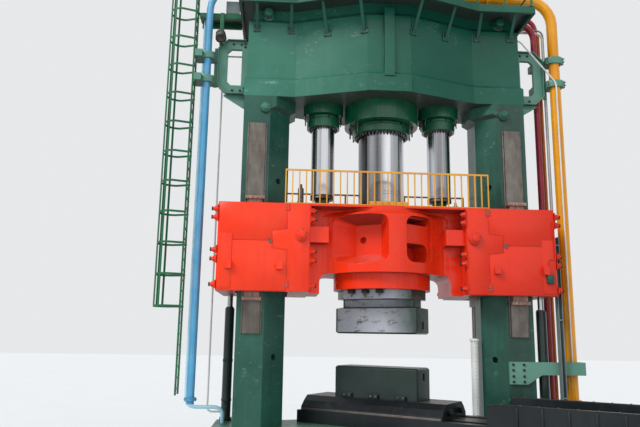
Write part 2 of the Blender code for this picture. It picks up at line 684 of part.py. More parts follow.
def add_tie_rods():
    """Each rod has a forged head in the lower beam and a round nut on the upper beam."""
    head_top = TIE_ROD_HEAD_RECESS + TIE_ROD_HEAD_HEIGHT
    nut_bottom = BEAM_TOP_Z + SEAT_GAP
    nut_top = nut_bottom + TIE_NUT_HEIGHT
    for place_name, place in TIE_ROD_PLACES.items():
        end = nut_top + TIE_ROD_END_PROUD
        profile = [(0, TIE_ROD_HEAD_RECESS), (TIE_ROD_HEAD_RADIUS, TIE_ROD_HEAD_RECESS),
                   (TIE_ROD_HEAD_RADIUS, head_top), (TIE_ROD_RADIUS, head_top), (TIE_ROD_RADIUS, end), (0, end)]
        mesh = turned("tie_rod", profile, SMALL_SEGMENTS, place)
        add_object("tie_rod_" + place_name, mesh, ROD_STEEL, rounded=True)
        hole = TIE_ROD_RADIUS + SEAT_GAP
        profile = [(hole, nut_bottom), (TIE_NUT_RADIUS, nut_bottom), (TIE_NUT_RADIUS, nut_top), (hole, nut_top)]
        mesh = turned("tie_nut", profile, SMALL_SEGMENTS, place)
        add_object("tie_rod_nut_" + place_name, mesh, ROD_STEEL, rounded=True)


def add_guides():
    """Hardened strips on the posts' front and rear, and the shoes that run on them."""
    bottom = POST_FOOT_Z + STRIP_BOTTOM_ABOVE_POST_FOOT
    for place_name, (side, front) in STRIP_PLACES.items():
        ys = sorted((front * (POST_HALF_DEPTH + SEAT_GAP), front * STRIP_FACE_Y))
        centre = side * STRIP_X
        mesh = box("strip", (centre - STRIP_WIDTH / 2, ys[0], bottom),
                   (centre + STRIP_WIDTH / 2, ys[1], bottom + STRIP_LENGTH))
        add_object("guide_strip_" + place_name, mesh, GUIDE_STEEL)
        inner, outer = STRIP_FACE_Y + SEAT_GAP, SHOE_BACK_Y
        ys = sorted((front * inner, front * outer))
        low, high = HOUSING_BOTTOM_Z - SHOE_PROUD, CROSSHEAD_TOP_Z + SHOE_PROUD
        mesh = box("shoe", (centre - SHOE_WIDTH / 2, ys[0], low), (centre + SHOE_WIDTH / 2, ys[1], high))
        shoe = add_object("guide_shoe_" + place_name, mesh, SHOE_STEEL)
        ys = sorted((front * inner, front * (inner + SHOE_PLATE_DEPTH)))
        for plate_z in (low, high - SHOE_PLATE_HEIGHT):
            weld(shoe, box("plate", (centre - SHOE_PLATE_WIDTH / 2, ys[0], plate_z),
                           (centre + SHOE_PLATE_WIDTH / 2, ys[1], plate_z + SHOE_PLATE_HEIGHT)))


def add_cylinder(name, x, ram_radius, barrel, flange, flange_height, head, head_height, segments):
    """A cylinder: barrel in the beam, flange against its underside, head above it, bore open below."""
    beam_seat = BEAM_BOTTOM_Z - SEAT_GAP
    flange_bottom = beam_seat - flange_height
    head_bottom = BEAM_TOP_Z + SEAT_GAP
    head_top = head_bottom + head_height
    bore = ram_radius + BORE_CLEARANCE
    bore_top = BEAM_TOP_Z - BARREL_END_WALL
    profile = [(0, bore_top), (bore, bore_top), (bore, flange_bottom), (flange, flange_bottom),
               (flange, beam_seat), (barrel, beam_seat), (barrel, head_bottom), (head, head_bottom),
               (head, head_top), (0, head_top)]
    mesh = turned(name, profile, segments, (x, 0))
    return add_object(name, mesh, CYLINDER_GREEN, rounded=True)


def add_gland(name, x, ram_radius, radius, height, seat_z, segments):
    """The gland ring that closes a cylinder round its ram, with a shallow groove round it."""
    hole = ram_radius + SEAT_GAP
    top = seat_z - SEAT_GAP
    neck = radius - GLAND_GROOVE_DEPTH
    third = height / 3
    profile = [(hole, top), (neck, top), (neck, top - third), (radius, top - third),
               (radius, top - height), (hole, top - height)]
    add_object(name, turned(name, profile, segments, (x, 0)), CYLINDER_GREEN, rounded=True)


def add_ram(name, x, radius, bottom, segments):
    """A polished ram with a small chamfer on its hidden upper end."""
    nose = RAM_NOSE_CHAMFER
    profile = [(0, bottom), (radius, bottom), (radius, RAM_TOP_Z - nose), (radius - nose, RAM_TOP_Z),
               (0, RAM_TOP_Z)]
    add_object(name, turned(name, profile, segments, (x, 0)), RAM_STEEL, rounded=True)


def add_cylinders_and_rams():
    beam_seat = BEAM_BOTTOM_Z - SEAT_GAP
    ram_seat = CROSSHEAD_TOP_Z + SEAT_GAP
    main = add_cylinder("main_cylinder", 0.0, MAIN_RAM_RADIUS, MAIN_BARREL_RADIUS, MAIN_FLANGE_RADIUS,
                        MAIN_FLANGE_HEIGHT, MAIN_HEAD_RADIUS, MAIN_HEAD_HEIGHT, ROUND_SEGMENTS)
    run_z = DECK_TOP_Z + DECK_RAIL_HEIGHT * PIPE_RUN_SHARE
    ports = ((1, -FRONT_PIPE_Y, YELLOW_PIPE_RADIUS), (-1, -FRONT_PIPE_Y, BLUE_PIPE_RADIUS))
    for side, y, radius in ports:
        start = (side * port_floor(MAIN_HEAD_RADIUS, y, radius), y, run_z)
        end = (side * (MAIN_HEAD_RADIUS + CUT_OVERRUN), y, run_z)
        cut(main, round_bar(radius + PIPE_PORT_CLEARANCE, start, end, SMALL_SEGMENTS))
    add_gland("main_gland", 0.0, MAIN_RAM_RADIUS, MAIN_GLAND_RADIUS, MAIN_GLAND_HEIGHT,
              beam_seat - MAIN_FLANGE_HEIGHT, ROUND_SEGMENTS)
    add_ram("main_ram", 0.0, MAIN_RAM_RADIUS, ram_seat, ROUND_SEGMENTS)
    hole = MAIN_RAM_RADIUS + SEAT_GAP
    chamfer = RAM_NOSE_CHAMFER
    profile = [(hole, ram_seat), (RAM_RING_RADIUS, ram_seat), (RAM_RING_RADIUS, ram_seat + RAM_RING_HEIGHT - chamfer),
               (RAM_RING_RADIUS - chamfer, ram_seat + RAM_RING_HEIGHT), (hole, ram_seat + RAM_RING_HEIGHT)]
    add_object("main_ram_ring", turned("main_ram_ring", profile, ROUND_SEGMENTS), GUARD_YELLOW, rounded=True)
    for side_name, side in (("left", -1), ("right", 1)):
        x = side * SIDE_RAM_X
        cylinder = add_cylinder("side_cylinder_" + side_name, x, SIDE_RAM_RADIUS, SIDE_BARREL_RADIUS,
                                SIDE_FLANGE_RADIUS, SIDE_FLANGE_HEIGHT, SIDE_HEAD_RADIUS, SIDE_HEAD_HEIGHT,
                                MEDIUM_SEGMENTS)
        if side > 0:
            low_z = BEAM_TOP_Z + LOW_RUN_ABOVE_BEAM
            start = (x + port_floor(SIDE_HEAD_RADIUS, 0.0, RED_PIPE_RADIUS), 0, low_z)
            end = (x + SIDE_HEAD_RADIUS + CUT_OVERRUN, 0, low_z)
            cut(cylinder, round_bar(RED_PIPE_RADIUS + PIPE_PORT_CLEARANCE, start, end, SMALL_SEGMENTS))
        add_gland("side_gland_" + side_name, x, SIDE_RAM_RADIUS, SIDE_GLAND_RADIUS, SIDE_GLAND_HEIGHT,
                  beam_seat - SIDE_FLANGE_HEIGHT, MEDIUM_SEGMENTS)
        stem_top = ram_seat + RAM_STEM_HEIGHT
        foot_top = ram_seat + STEM_FOOT_HEIGHT
        profile = [(0, ram_seat), (STEM_FOOT_RADIUS, ram_seat), (STEM_FOOT_RADIUS, foot_top),
                   (RAM_STEM_RADIUS, foot_top), (RAM_STEM_RADIUS, stem_top), (0, stem_top)]
        name = "side_ram_stem_" + side_name
        add_object(name, turned(name, profile, MEDIUM_SEGMENTS, (x, 0)), CYLINDER_GREEN, rounded=True)
        add_ram("side_ram_" + side_name, x, SIDE_RAM_RADIUS, stem_top + SEAT_GAP, MEDIUM_SEGMENTS)


def port_floor(head_radius, y, radius):
    """How far from a round head's middle its pipe port ends, for a pipe that comes in along X."""
    reach = min(abs(y) + radius, head_radius)
    return sqrt(head_radius ** 2 - reach ** 2) * cos(pi / MEDIUM_SEGMENTS) - PIPE_PORT_DEPTH


def drum_plan(radius):
    """The crosshead's plan: a drum that runs out through concave fillets into two wings."""
    centre_y = WING_HALF_DEPTH + WING_FILLET_RADIUS
    centre_x = sqrt((radius + WING_FILLET_RADIUS) ** 2 - centre_y ** 2)
    touch = atan2(centre_y, centre_x)
    quarter = [(WING_END_X, WING_HALF_DEPTH)]
    for step in range(CORNER_STEPS + 1):
        angle = -pi / 2 + (touch - pi / 2) * step / CORNER_STEPS
        quarter.append((centre_x + WING_FILLET_RADIUS * cos(angle), centre_y + WING_FILLET_RADIUS * sin(angle)))
    drum_steps = ROUND_SEGMENTS // 4
    for step in range(1, drum_steps + 1):
        angle = touch + (pi / 2 - touch) * step / drum_steps
        quarter.append((radius * cos(angle), radius * sin(angle)))
    rear = quarter + [(-x, y) for x, y in reversed(quarter[:-1])]
    return rear + [(x, -y) for x, y in reversed(rear)]


def radial_cutter(azimuth, outlines):
    """A body that runs outwards from the crosshead's axis; outlines are (radius, width, height, corner, z)."""
    rings = []
    for radius, width, height, corner, z in outlines:
        rings.append([(x, -radius, z + rise) for x, rise in rounded_rectangle(width, height, corner)])
    return move(loft("radial_cutter", rings), Matrix.Rotation(azimuth, 4, "Z"))


def add_crosshead_centre():
    """The centre casting: drum with a sloped shoulder, top plate, boss, wings, lugs and openings."""
    neck_z = CROSSHEAD_TOP_Z - DRUM_NECK_HEIGHT
    rings = [level(drum_plan(DRUM_RADIUS), DRUM_BOTTOM_Z),
             level(drum_plan(DRUM_RADIUS), CROSSHEAD_TOP_Z - DRUM_SHOULDER_HEIGHT),
             level(drum_plan(DRUM_SHOULDER_RADIUS), (CROSSHEAD_TOP_Z - DRUM_SHOULDER_HEIGHT + neck_z) / 2),
             level(drum_plan(DRUM_TOP_RADIUS), neck_z), level(drum_plan(DRUM_TOP_RADIUS), CROSSHEAD_TOP_Z)]
    centre = add_object("crosshead_centre", loft("crosshead_centre", rings), CROSSHEAD_RED, rounded=True)
    weld(centre, box("top_plate", (-WING_END_X, -HOUSING_HALF_DEPTH, CROSSHEAD_TOP_Z - TOP_PLATE_THICKNESS),
                     (WING_END_X, HOUSING_HALF_DEPTH, CROSSHEAD_TOP_Z)))
    profile = [(0, BOSS_BOTTOM_Z), (BOSS_RADIUS, BOSS_BOTTOM_Z), (BOSS_RADIUS, DRUM_BOTTOM_Z + CUT_OVERRUN),
               (0, DRUM_BOTTOM_Z + CUT_OVERRUN)]
    weld(centre, turned("boss", profile, ROUND_SEGMENTS))
    for side in (-1, 1):
        weld(centre, wing_leg(side))
        for front in (-1, 1):
            xs = sorted((side * LUG_START_X, side * WING_END_X))
            ys = sorted((front * (WING_HALF_DEPTH - CUT_OVERRUN), front * LUG_HALF_DEPTH))
            top = CROSSHEAD_TOP_Z - LUG_BELOW_TOP
            weld(centre, box("lug", (xs[0], ys[0], top - LUG_HEIGHT), (xs[1], ys[1], top)))
    for half_turn in (0, pi):
        cut_pocket(centre, POCKET_AZIMUTH + half_turn)
        cut_window(centre, WINDOW_AZIMUTH + half_turn)


def wing_leg(side):
    """The leg of a wing that reaches down beside the housing, with a round inner knee."""
    top = DRUM_BOTTOM_Z + CUT_OVERRUN
    knee_x = WING_LEG_X - KNEE_RADIUS
    knee_z = DRUM_BOTTOM_Z - KNEE_RADIUS
    outline = [(WING_END_X, HOUSING_BOTTOM_Z), (WING_END_X, top), (knee_x, top)]
    for step in range(CORNER_STEPS + 1):
        angle = pi / 2 * (1 - step / CORNER_STEPS)
        outline.append((knee_x + KNEE_RADIUS * cos(angle), knee_z + KNEE_RADIUS * sin(angle)))
    outline.append((WING_LEG_X, HOUSING_BOTTOM_Z))
    outline = [(side * x, z) for x, z in outline]
    return slab_y("wing_leg", outline, -WING_HALF_DEPTH, WING_HALF_DEPTH)


def cut_pocket(centre, azimuth):
    """A tapered pocket with round corners and a flat floor, and a hole in that floor."""
    middle_z = CROSSHEAD_TOP_Z - POCKET_BELOW_TOP - POCKET_HEIGHT / 2
    mouth = DRUM_RADIUS + CUT_OVERRUN
    taper = (mouth - POCKET_FLOOR_RADIUS) / (DRUM_RADIUS - POCKET_FLOOR_RADIUS)
    width = POCKET_FLOOR_WIDTH + (POCKET_WIDTH - POCKET_FLOOR_WIDTH) * taper
    height = POCKET_FLOOR_HEIGHT + (POCKET_HEIGHT - POCKET_FLOOR_HEIGHT) * taper
    floor_z = middle_z + POCKET_FLOOR_RISE
    outlines = [(POCKET_FLOOR_RADIUS, POCKET_FLOOR_WIDTH, POCKET_FLOOR_HEIGHT, POCKET_FLOOR_CORNER, floor_z),
                (mouth, width, height, POCKET_CORNER, middle_z)]
    cut(centre, radial_cutter(azimuth, outlines))
    hole = round_bar(POCKET_HOLE_RADIUS, (-POCKET_HOLE_ASIDE, -POCKET_FLOOR_RADIUS + POCKET_HOLE_DEPTH, floor_z),
                     (-POCKET_HOLE_ASIDE, -POCKET_FLOOR_RADIUS - CUT_OVERRUN, floor_z), SMALL_SEGMENTS)
    cut(centre, move(hole, Matrix.Rotation(azimuth, 4, "Z")))


def cut_window(centre, azimuth):
    """A tall window with a cross bar left standing in it."""
    top = CROSSHEAD_TOP_Z - WINDOW_BELOW_TOP
    middle = top - WINDOW_HEIGHT / 2
    mouth = DRUM_RADIUS + CUT_OVERRUN
    whole = [(radius, WINDOW_WIDTH, WINDOW_HEIGHT, WINDOW_CORNER, middle)
             for radius in (WINDOW_SILL_RADIUS, mouth)]
    cut(centre, radial_cutter(azimuth, whole))
    bar_top = CROSSHEAD_TOP_Z - WINDOW_BAR_BELOW_TOP
    bar_bottom = bar_top - WINDOW_BAR_HEIGHT
    sill = WINDOW_SILL_RADIUS + CUT_OVERRUN / 2
    width = WINDOW_WIDTH - 2 * WINDOW_LEDGE
    for low, high in ((bar_top, top - WINDOW_LEDGE), (top - WINDOW_HEIGHT + WINDOW_LEDGE, bar_bottom)):
        corner = min(WINDOW_CORNER - WINDOW_LEDGE, (high - low) / 2 * CORNER_FILL_SHARE)
        part = [(radius, width, high - low, corner, (high + low) / 2)
                for radius in (WINDOW_FLOOR_RADIUS, sill)]
        cut(centre, radial_cutter(azimuth, part))


def add_housing(name, side):
    """A crosshead housing: a heavy block with a shaft for the post, seats for the shoes and bosses."""
    inner = WING_END_X + SEAT_GAP
    c = HOUSING_FACE_CHAMFER
    ys = HOUSING_HALF_DEPTH
    outline = [(inner, -ys), (HOUSING_OUTER_X - c, -ys), (HOUSING_OUTER_X, -ys + c), (HOUSING_OUTER_X, ys - c),
               (HOUSING_OUTER_X - c, ys), (inner, ys)]
    mesh = prism(name, outline, HOUSING_BOTTOM_Z, CROSSHEAD_TOP_Z)
    move(mesh, Matrix.Scale(side, 4, (1, 0, 0)))
    housing = add_object(name, mesh, CROSSHEAD_RED)
    clearance = HOUSING_INNER_CLEARANCE
    xs = sorted((side * (POST_INNER_X - clearance), side * (POST_OUTER_X + clearance)))
    cut(housing, box("shaft", (xs[0], -HOUSING_HOLE_Y, HOUSING_BOTTOM_Z - CUT_OVERRUN),
                     (xs[1], HOUSING_HOLE_Y, CROSSHEAD_TOP_Z + CUT_OVERRUN)))
    for front in (-1, 1):
        start = (side * KEY_DISC_X, front * (ys - CUT_OVERRUN), CROSSHEAD_TOP_Z - KEY_DISC_BELOW_TOP)
        end = (side * KEY_DISC_X, front * (ys + KEY_DISC_PROUD), CROSSHEAD_TOP_Z - KEY_DISC_BELOW_TOP)
        weld(housing, round_bar(KEY_DISC_RADIUS, start, end, MEDIUM_SEGMENTS))
        for eye_x in EYE_XS:
            weld(housing, lifting_eye(side * eye_x, front))
    place = [spot for spot in RETURN_PLACES.values() if spot[0] * side > 0][0]
    ceiling = HOUSING_BOTTOM_Z + RETURN_POCKET_DEPTH
    profile = [(0, HOUSING_BOTTOM_Z - CUT_OVERRUN), (RETURN_POCKET_RADIUS, HOUSING_BOTTOM_Z - CUT_OVERRUN),
               (RETURN_POCKET_RADIUS, ceiling), (0, ceiling)]
    cut(housing, turned("ram_pocket", profile, SMALL_SEGMENTS, place))


def lifting_eye(x, front):
    """A short upright lug with a round top on the housing's face."""
    z = CROSSHEAD_TOP_Z - EYE_BELOW_TOP
    half = EYE_HEIGHT / 2
    outline = [(x - EYE_RADIUS, z - half), (x + EYE_RADIUS, z - half)]
    for step in range(CORNER_STEPS * 2 + 1):
        angle = pi * step / (CORNER_STEPS * 2)
        outline.append((x + EYE_RADIUS * cos(angle), z + half - EYE_RADIUS + EYE_RADIUS * sin(angle)))
    ys = sorted((front * (HOUSING_HALF_DEPTH - CUT_OVERRUN), front * (HOUSING_HALF_DEPTH + EYE_PROUD)))
    return slab_y("lifting_eye", outline, ys[0], ys[1])


def add_return_cylinders():
    foot = LOWER_BEAM_HEIGHT + SEAT_GAP
    top = foot + RETURN_CYLINDER_HEIGHT
    bore = RETURN_RAM_RADIUS + SEAT_GAP
    ram_top = HOUSING_BOTTOM_Z + RETURN_POCKET_DEPTH - SEAT_GAP
    for place_name, place in RETURN_PLACES.items():
        floor = foot + RETURN_BOTTOM_WALL
        radius = RETURN_CYLINDER_RADIUS
        flange_top = foot + RETURN_FLANGE_HEIGHT
        profile = [(0, foot), (RETURN_FLANGE_RADIUS, foot), (RETURN_FLANGE_RADIUS, flange_top),
                   (radius, flange_top), (radius, top), (bore, top), (bore, floor), (0, floor)]
        name = "return_cylinder_" + place_name
        add_object(name, turned(name, profile, SMALL_SEGMENTS, place), DIE_STEEL, rounded=True)
        profile = [(0, ram_top - RETURN_RAM_LENGTH), (RETURN_RAM_RADIUS, ram_top - RETURN_RAM_LENGTH),
                   (RETURN_RAM_RADIUS, ram_top), (0, ram_top)]
        name = "return_ram_" + place_name
        add_object(name, turned(name, profile, SMALL_SEGMENTS, place), RAM_STEEL, rounded=True)


def add_bed_and_table():
    """The bed on the lower beam, its raised slideway outside the frame, and the table that slides on it."""
    foot = LOWER_BEAM_HEIGHT + SEAT_GAP
    groove = BED_RAIL_HALF_WIDTH
    rail = BED_RAIL_FROM_MIDDLE
    rail_z = BED_TOP_Z - BED_RAIL_HEIGHT
    half = BED_HALF_WIDTH
    right = [(half, foot), (half, BED_TOP_Z), (rail + groove, BED_TOP_Z), (rail + groove, rail_z),
             (rail - groove, rail_z), (rail - groove, BED_TOP_Z)]
    section = right + [(-y, z) for y, z in reversed(right)]
    add_object("table_bed", table_length("table_bed", section, -BED_REAR_LENGTH, BED_FRONT_LENGTH), TABLE_STEEL)
    wall = SLIDEWAY_HALF_WIDTH
    inner = wall - SLIDEWAY_WALL
    right = [(wall, foot), (wall, foot + SLIDEWAY_HEIGHT), (inner, foot + SLIDEWAY_HEIGHT), (inner, BED_TOP_Z),
             (rail + groove, BED_TOP_Z), (rail + groove, rail_z), (rail - groove, rail_z),
             (rail - groove, BED_TOP_Z)]
    section = right + [(-y, z) for y, z in reversed(right)]
    start = BED_FRONT_LENGTH + SEAT_GAP
    add_object("slideway", table_length("slideway", section, start, start + SLIDEWAY_LENGTH), TABLE_STEEL)
    base = TABLE_BOTTOM_Z
    key = groove - SEAT_GAP
    key_z = rail_z + SEAT_GAP
    shoulder_z = TABLE_TOP_Z - TABLE_APRON_HEIGHT
    right = [(TABLE_HALF_WIDTH, base), (TABLE_HALF_WIDTH, base + TABLE_FOOT_HEIGHT),
             (TABLE_SHOULDER_HALF_WIDTH, shoulder_z), (TABLE_TOP_HALF_WIDTH, TABLE_TOP_Z)]
    keys = [(rail - key, base), (rail - key, key_z), (rail + key, key_z), (rail + key, base)]
    section = keys + right + [(-y, z) for y, z in reversed(keys + right)]
    mesh = table_length("moving_table", section, -TABLE_HALF_LENGTH, TABLE_HALF_LENGTH)
    add_object("moving_table", mesh, TABLE_STEEL)


def table_length(name, section, start, end):
    """A section across the table, carried along it."""
    rings = []
    for along in (start, end):
        rings.append([(*table_point(along, across), z) for across, z in section])
    return loft(name, rings)


def die_block(name, half_length, half_width, levels):
    """A block along the table with round upright edges; levels are (height, setback)."""
    rings = []
    for height, setback in levels:
        outline = rounded_rectangle(2 * (half_length - setback), 2 * (half_width - setback),
                                    DIE_EDGE_RADIUS, DIE_EDGE_STEPS)
        rings.append([(*table_point(along, across), height) for along, across in outline])
    return loft(name, rings)


def add_dies():
    """The two forging dies, the neck of the upper one and the plate that holds it."""
    edge = DIE_EDGE_RADIUS / 2
    foot = TABLE_TOP_Z + SEAT_GAP
    top = LOWER_DIE_TOP_Z
    levels = [(foot, 0.0), (top - edge, 0.0), (top, edge)]
    lower = add_object("lower_die", die_block("lower_die", DIE_HALF_LENGTH, DIE_HALF_WIDTH, levels), DIE_STEEL)
    face = UPPER_DIE_FACE_Z
    shoulder = face + UPPER_DIE_HEIGHT
    levels = [(face, edge), (face + edge, 0.0), (shoulder - edge, 0.0), (shoulder, DIE_NECK_SETBACK),
              (UPPER_DIE_TOP_Z, DIE_NECK_SETBACK)]
    upper = add_object("upper_die", die_block("upper_die", DIE_HALF_LENGTH, DIE_HALF_WIDTH, levels), DIE_STEEL)
    for die, low in ((lower, top - DIE_SLOT_ABOVE_FACE - DIE_SLOT_HEIGHT), (upper, face + DIE_SLOT_ABOVE_FACE)):
        for end in (-1, 1):
            xs = sorted((end * (DIE_HALF_LENGTH - DIE_SLOT_DEPTH), end * (DIE_HALF_LENGTH + CUT_OVERRUN)))
            slot = box("slot", (xs[0], -DIE_SLOT_HALF_WIDTH, low), (xs[1], DIE_SLOT_HALF_WIDTH, low + DIE_SLOT_HEIGHT))
            cut(die, move(slot, TABLE_TURN))
    corner = HOLDER_CORNER
    long_side, short_side = HOLDER_HALF_LENGTH, HOLDER_HALF_WIDTH
    right = [(long_side, -short_side + corner), (long_side, short_side - corner),
             (long_side - corner, short_side)]
    outline = right + [(-long_side + corner, short_side)] + [(-x, -y) for x, y in right]
    outline.append((long_side - corner, -short_side))
    plan = [table_point(x, y) for x, y in outline]
    holder = prism("upper_die_holder", plan, UPPER_DIE_TOP_Z + SEAT_GAP, HOLDER_TOP_Z)
    add_object("upper_die_holder", holder, DIE_STEEL)


def add_guardrails():
    """The close-set guardrail at the crosshead's front and the open one at its rear."""
    foot = CROSSHEAD_TOP_Z + SEAT_GAP
    pitch = (2 * RAIL_HALF_LENGTH - BALUSTER_WIDTH) / (BALUSTER_COUNT - 1)
    path = []
    for number in range(BALUSTER_COUNT):
        start = -RAIL_HALF_LENGTH + number * pitch
        path += [(start, -RAIL_Y), (start + BALUSTER_WIDTH, -RAIL_Y)]
    heights = [foot, foot + RAIL_BAR, foot + RAIL_HEIGHT - RAIL_BAR, foot + RAIL_HEIGHT]
    made = lattice("front_guardrail", path, heights, lambda column, row: row != 1 or column % 2 == 0,
                   BALUSTER_WIDTH)
    add_lattice("front_guardrail", made, GUARD_YELLOW)
    pitch = (2 * RAIL_HALF_LENGTH - RAIL_BAR) / (REAR_POST_COUNT - 1)
    path = []
    for number in range(REAR_POST_COUNT):
        start = RAIL_HALF_LENGTH - number * pitch
        path += [(start, RAIL_Y), (start - RAIL_BAR, RAIL_Y)]
    middle = foot + REAR_RAIL_HEIGHT / 2
    heights = [foot, foot + RAIL_BAR, middle, middle + RAIL_BAR, foot + REAR_RAIL_HEIGHT - RAIL_BAR,
               foot + REAR_RAIL_HEIGHT]
    made = lattice("rear_guardrail", path, heights, lambda column, row: row % 2 == 0 or column % 2 == 0,
                   BALUSTER_WIDTH)
    add_lattice("rear_guardrail", made, GUARD_YELLOW)


def add_stroke_gauge():
    """The gauge's tube stands on the lower beam, and its rod hangs from the right housing."""
    foot = LOWER_BEAM_HEIGHT + SEAT_GAP
    place = (GAUGE_X, -GAUGE_Y)
    hole = GAUGE_ROD_RADIUS + SEAT_GAP
    top = foot + GAUGE_TUBE_HEIGHT
    profile = [(hole, foot), (GAUGE_TUBE_RADIUS, foot), (GAUGE_TUBE_RADIUS, top), (hole, top)]
    add_object("gauge_tube", turned("gauge_tube", profile, SMALL_SEGMENTS, place), GAUGE_WHITE, rounded=True)
    rod_top = HOUSING_BOTTOM_Z - SEAT_GAP
    profile = [(0, rod_top - GAUGE_ROD_LENGTH), (GAUGE_ROD_RADIUS, rod_top - GAUGE_ROD_LENGTH),
               (GAUGE_ROD_RADIUS, rod_top), (0, rod_top)]
    rod = add_object("gauge_rod", turned("gauge_rod", profile, SMALL_SEGMENTS, place), GUIDE_STEEL)
    half = GAUGE_BLOCK_HALF
    weld(rod, box("block", (place[0] - half, place[1] - half, rod_top - GAUGE_BLOCK_HEIGHT),
                  (place[0] + half, place[1] + half, rod_top)))


def deck_plan(inset):
    """The walkway's outer plan, which follows the beam at a distance."""
    return beam_plan(inset, BEAM_HALF_LENGTH + DECK_END_OVERHANG, DECK_OVERHANG - BEAM_WEB_INSET)


def add_deck():
    """The walkway: a plate round the beam's top with a deep skirt, on struts from the web."""
    deck = add_object("top_deck", prism("top_deck", deck_plan(0.0), DECK_BOTTOM_Z, DECK_TOP_Z), BRACKET_GREEN)
    skirt = DECK_SKIRT_THICKNESS
    cut(deck, prism("underside", deck_plan(skirt), DECK_BOTTOM_Z - CUT_OVERRUN, DECK_TOP_Z - DECK_PLATE))
    hole = beam_plan(BEAM_TOP_INSET - SEAT_GAP)
    cut(deck, prism("beam_hole", hole, DECK_BOTTOM_Z - CUT_OVERRUN, DECK_TOP_Z + CUT_OVERRUN))
    for front in (-1, 1):
        for side in (-1, 1):
            for x, drop in zip(STRUT_XS, STRUT_FEET_BELOW_DECK):
                weld(deck, strut(side * x, front, drop))


def strut(x, front, drop):
    """A strut from the web up to the walkway's plate, with a foot plate that lies on the web."""
    face_slope = 0.0
    if abs(x) < BEAM_FLAT_END_X:
        face_slope = (BEAM_MID_HALF_DEPTH - BEAM_END_HALF_DEPTH) / (BEAM_FLAT_END_X - BEAM_MID_HALF_WIDTH)
    side = 1 if x > 0 else -1
    normal = Vector((side * face_slope, front, 0)).normalized()
    along = Vector((-normal.y, normal.x, 0))
    up = Vector((0, 0, 1))
    foot_z = DECK_TOP_Z - drop
    foot = Vector((x, front * plan_depth(x, BEAM_WEB_INSET), foot_z)) + normal * SEAT_GAP
    reach = DECK_OVERHANG - DECK_SKIRT_THICKNESS - STRUT_WIDTH
    top = foot + normal * reach + up * (drop - DECK_PLATE / 2)
    rings = []
    stations = ((foot, STRUT_FOOT_HALF, STRUT_FOOT_HALF), (foot + normal * STRUT_FOOT_THICKNESS, STRUT_FOOT_HALF,
                STRUT_FOOT_HALF), (foot + normal * STRUT_FOOT_THICKNESS, STRUT_WIDTH / 2, STRUT_WIDTH / 2))
    for middle, half, rise in stations:
        rings.append([middle + along * (a * half) + up * (b * rise)
                      for a, b in ((1, 1), (-1, 1), (-1, -1), (1, -1))])
    rings.append([top + along * (a * STRUT_WIDTH / 2) - normal * (b * STRUT_WIDTH / 2)
                  for a, b in ((1, 1), (-1, 1), (-1, -1), (1, -1))])
    return loft("strut", rings)


def add_deck_rail():
    """The rail round the walkway, a closed run of posts with two bars."""
    plan = deck_plan(DECK_RAIL_INSET)
    path = []
    for index, corner in enumerate(plan):
        following = Vector(plan[(index + 1) % len(plan)])
        corner = Vector(corner)
        length = (following - corner).length
        direction = (following - corner) / length
        path += [tuple(corner), tuple(corner + direction * DECK_RAIL_BAR)]
        spans = max(1, round(length / DECK_POST_PITCH))
        distances = [length * number / spans for number in range(1, spans)]
        if direction.x == 0:
            distances = [(length - FRONT_PIPE_Y) / 2, (length + FRONT_PIPE_Y) / 2]
        for distance in distances:
            start = corner + direction * (distance - DECK_RAIL_BAR / 2)
            path += [tuple(start), tuple(start + direction * DECK_RAIL_BAR)]
    foot = DECK_TOP_Z + SEAT_GAP
    middle = foot + DECK_RAIL_HEIGHT / 2
    heights = [foot, middle, middle + DECK_RAIL_BAR, foot + DECK_RAIL_HEIGHT - DECK_RAIL_BAR,
               foot + DECK_RAIL_HEIGHT]
    made = lattice("deck_rail", path, heights, lambda column, row: row % 2 == 1 or column % 2 == 0,
                   DECK_RAIL_BAR, closed=True)
    add_lattice("deck_rail", made, LADDER_GREEN)


def pipe_path(corners, bend_radius):
    """The points of a pipe through right-angled corners, with a round bend at each."""
    points = [Vector(corners[0])]
    for before, corner, after in zip(corners, corners[1:], corners[2:]):
        before, corner, after = Vector(before), Vector(corner), Vector(after)
        arriving, leaving = (corner - before).normalized(), (after - corner).normalized()
        start = corner - arriving * bend_radius
        centre = start + leaving * bend_radius
        for step in range(PIPE_BEND_STEPS + 1):
            angle = pi / 2 * step / PIPE_BEND_STEPS
            points.append(centre - leaving * (bend_radius * cos(angle)) + arriving * (bend_radius * sin(angle)))
    points.append(Vector(corners[-1]))
    return points


def add_pipe(name, corners, radius, bend_radius, material):
    """A round pipe as a curve with a bevel and closed ends."""
    curve = bpy.data.curves.new(name, "CURVE")
    curve.dimensions = "3D"
    curve.bevel_depth = radius
    curve.bevel_resolution = PIPE_BEVEL_STEPS
    curve.use_fill_caps = True
    spline = curve.splines.new("POLY")
    points = pipe_path(corners, bend_radius)
    spline.points.add(len(points) - 1)
    for place, point in zip(spline.points, points):
        place.co = (*point, 1)
    pipe = bpy.data.objects.new(name, curve)
    curve.materials.append(material)
    bpy.context.scene.collection.objects.link(pipe)


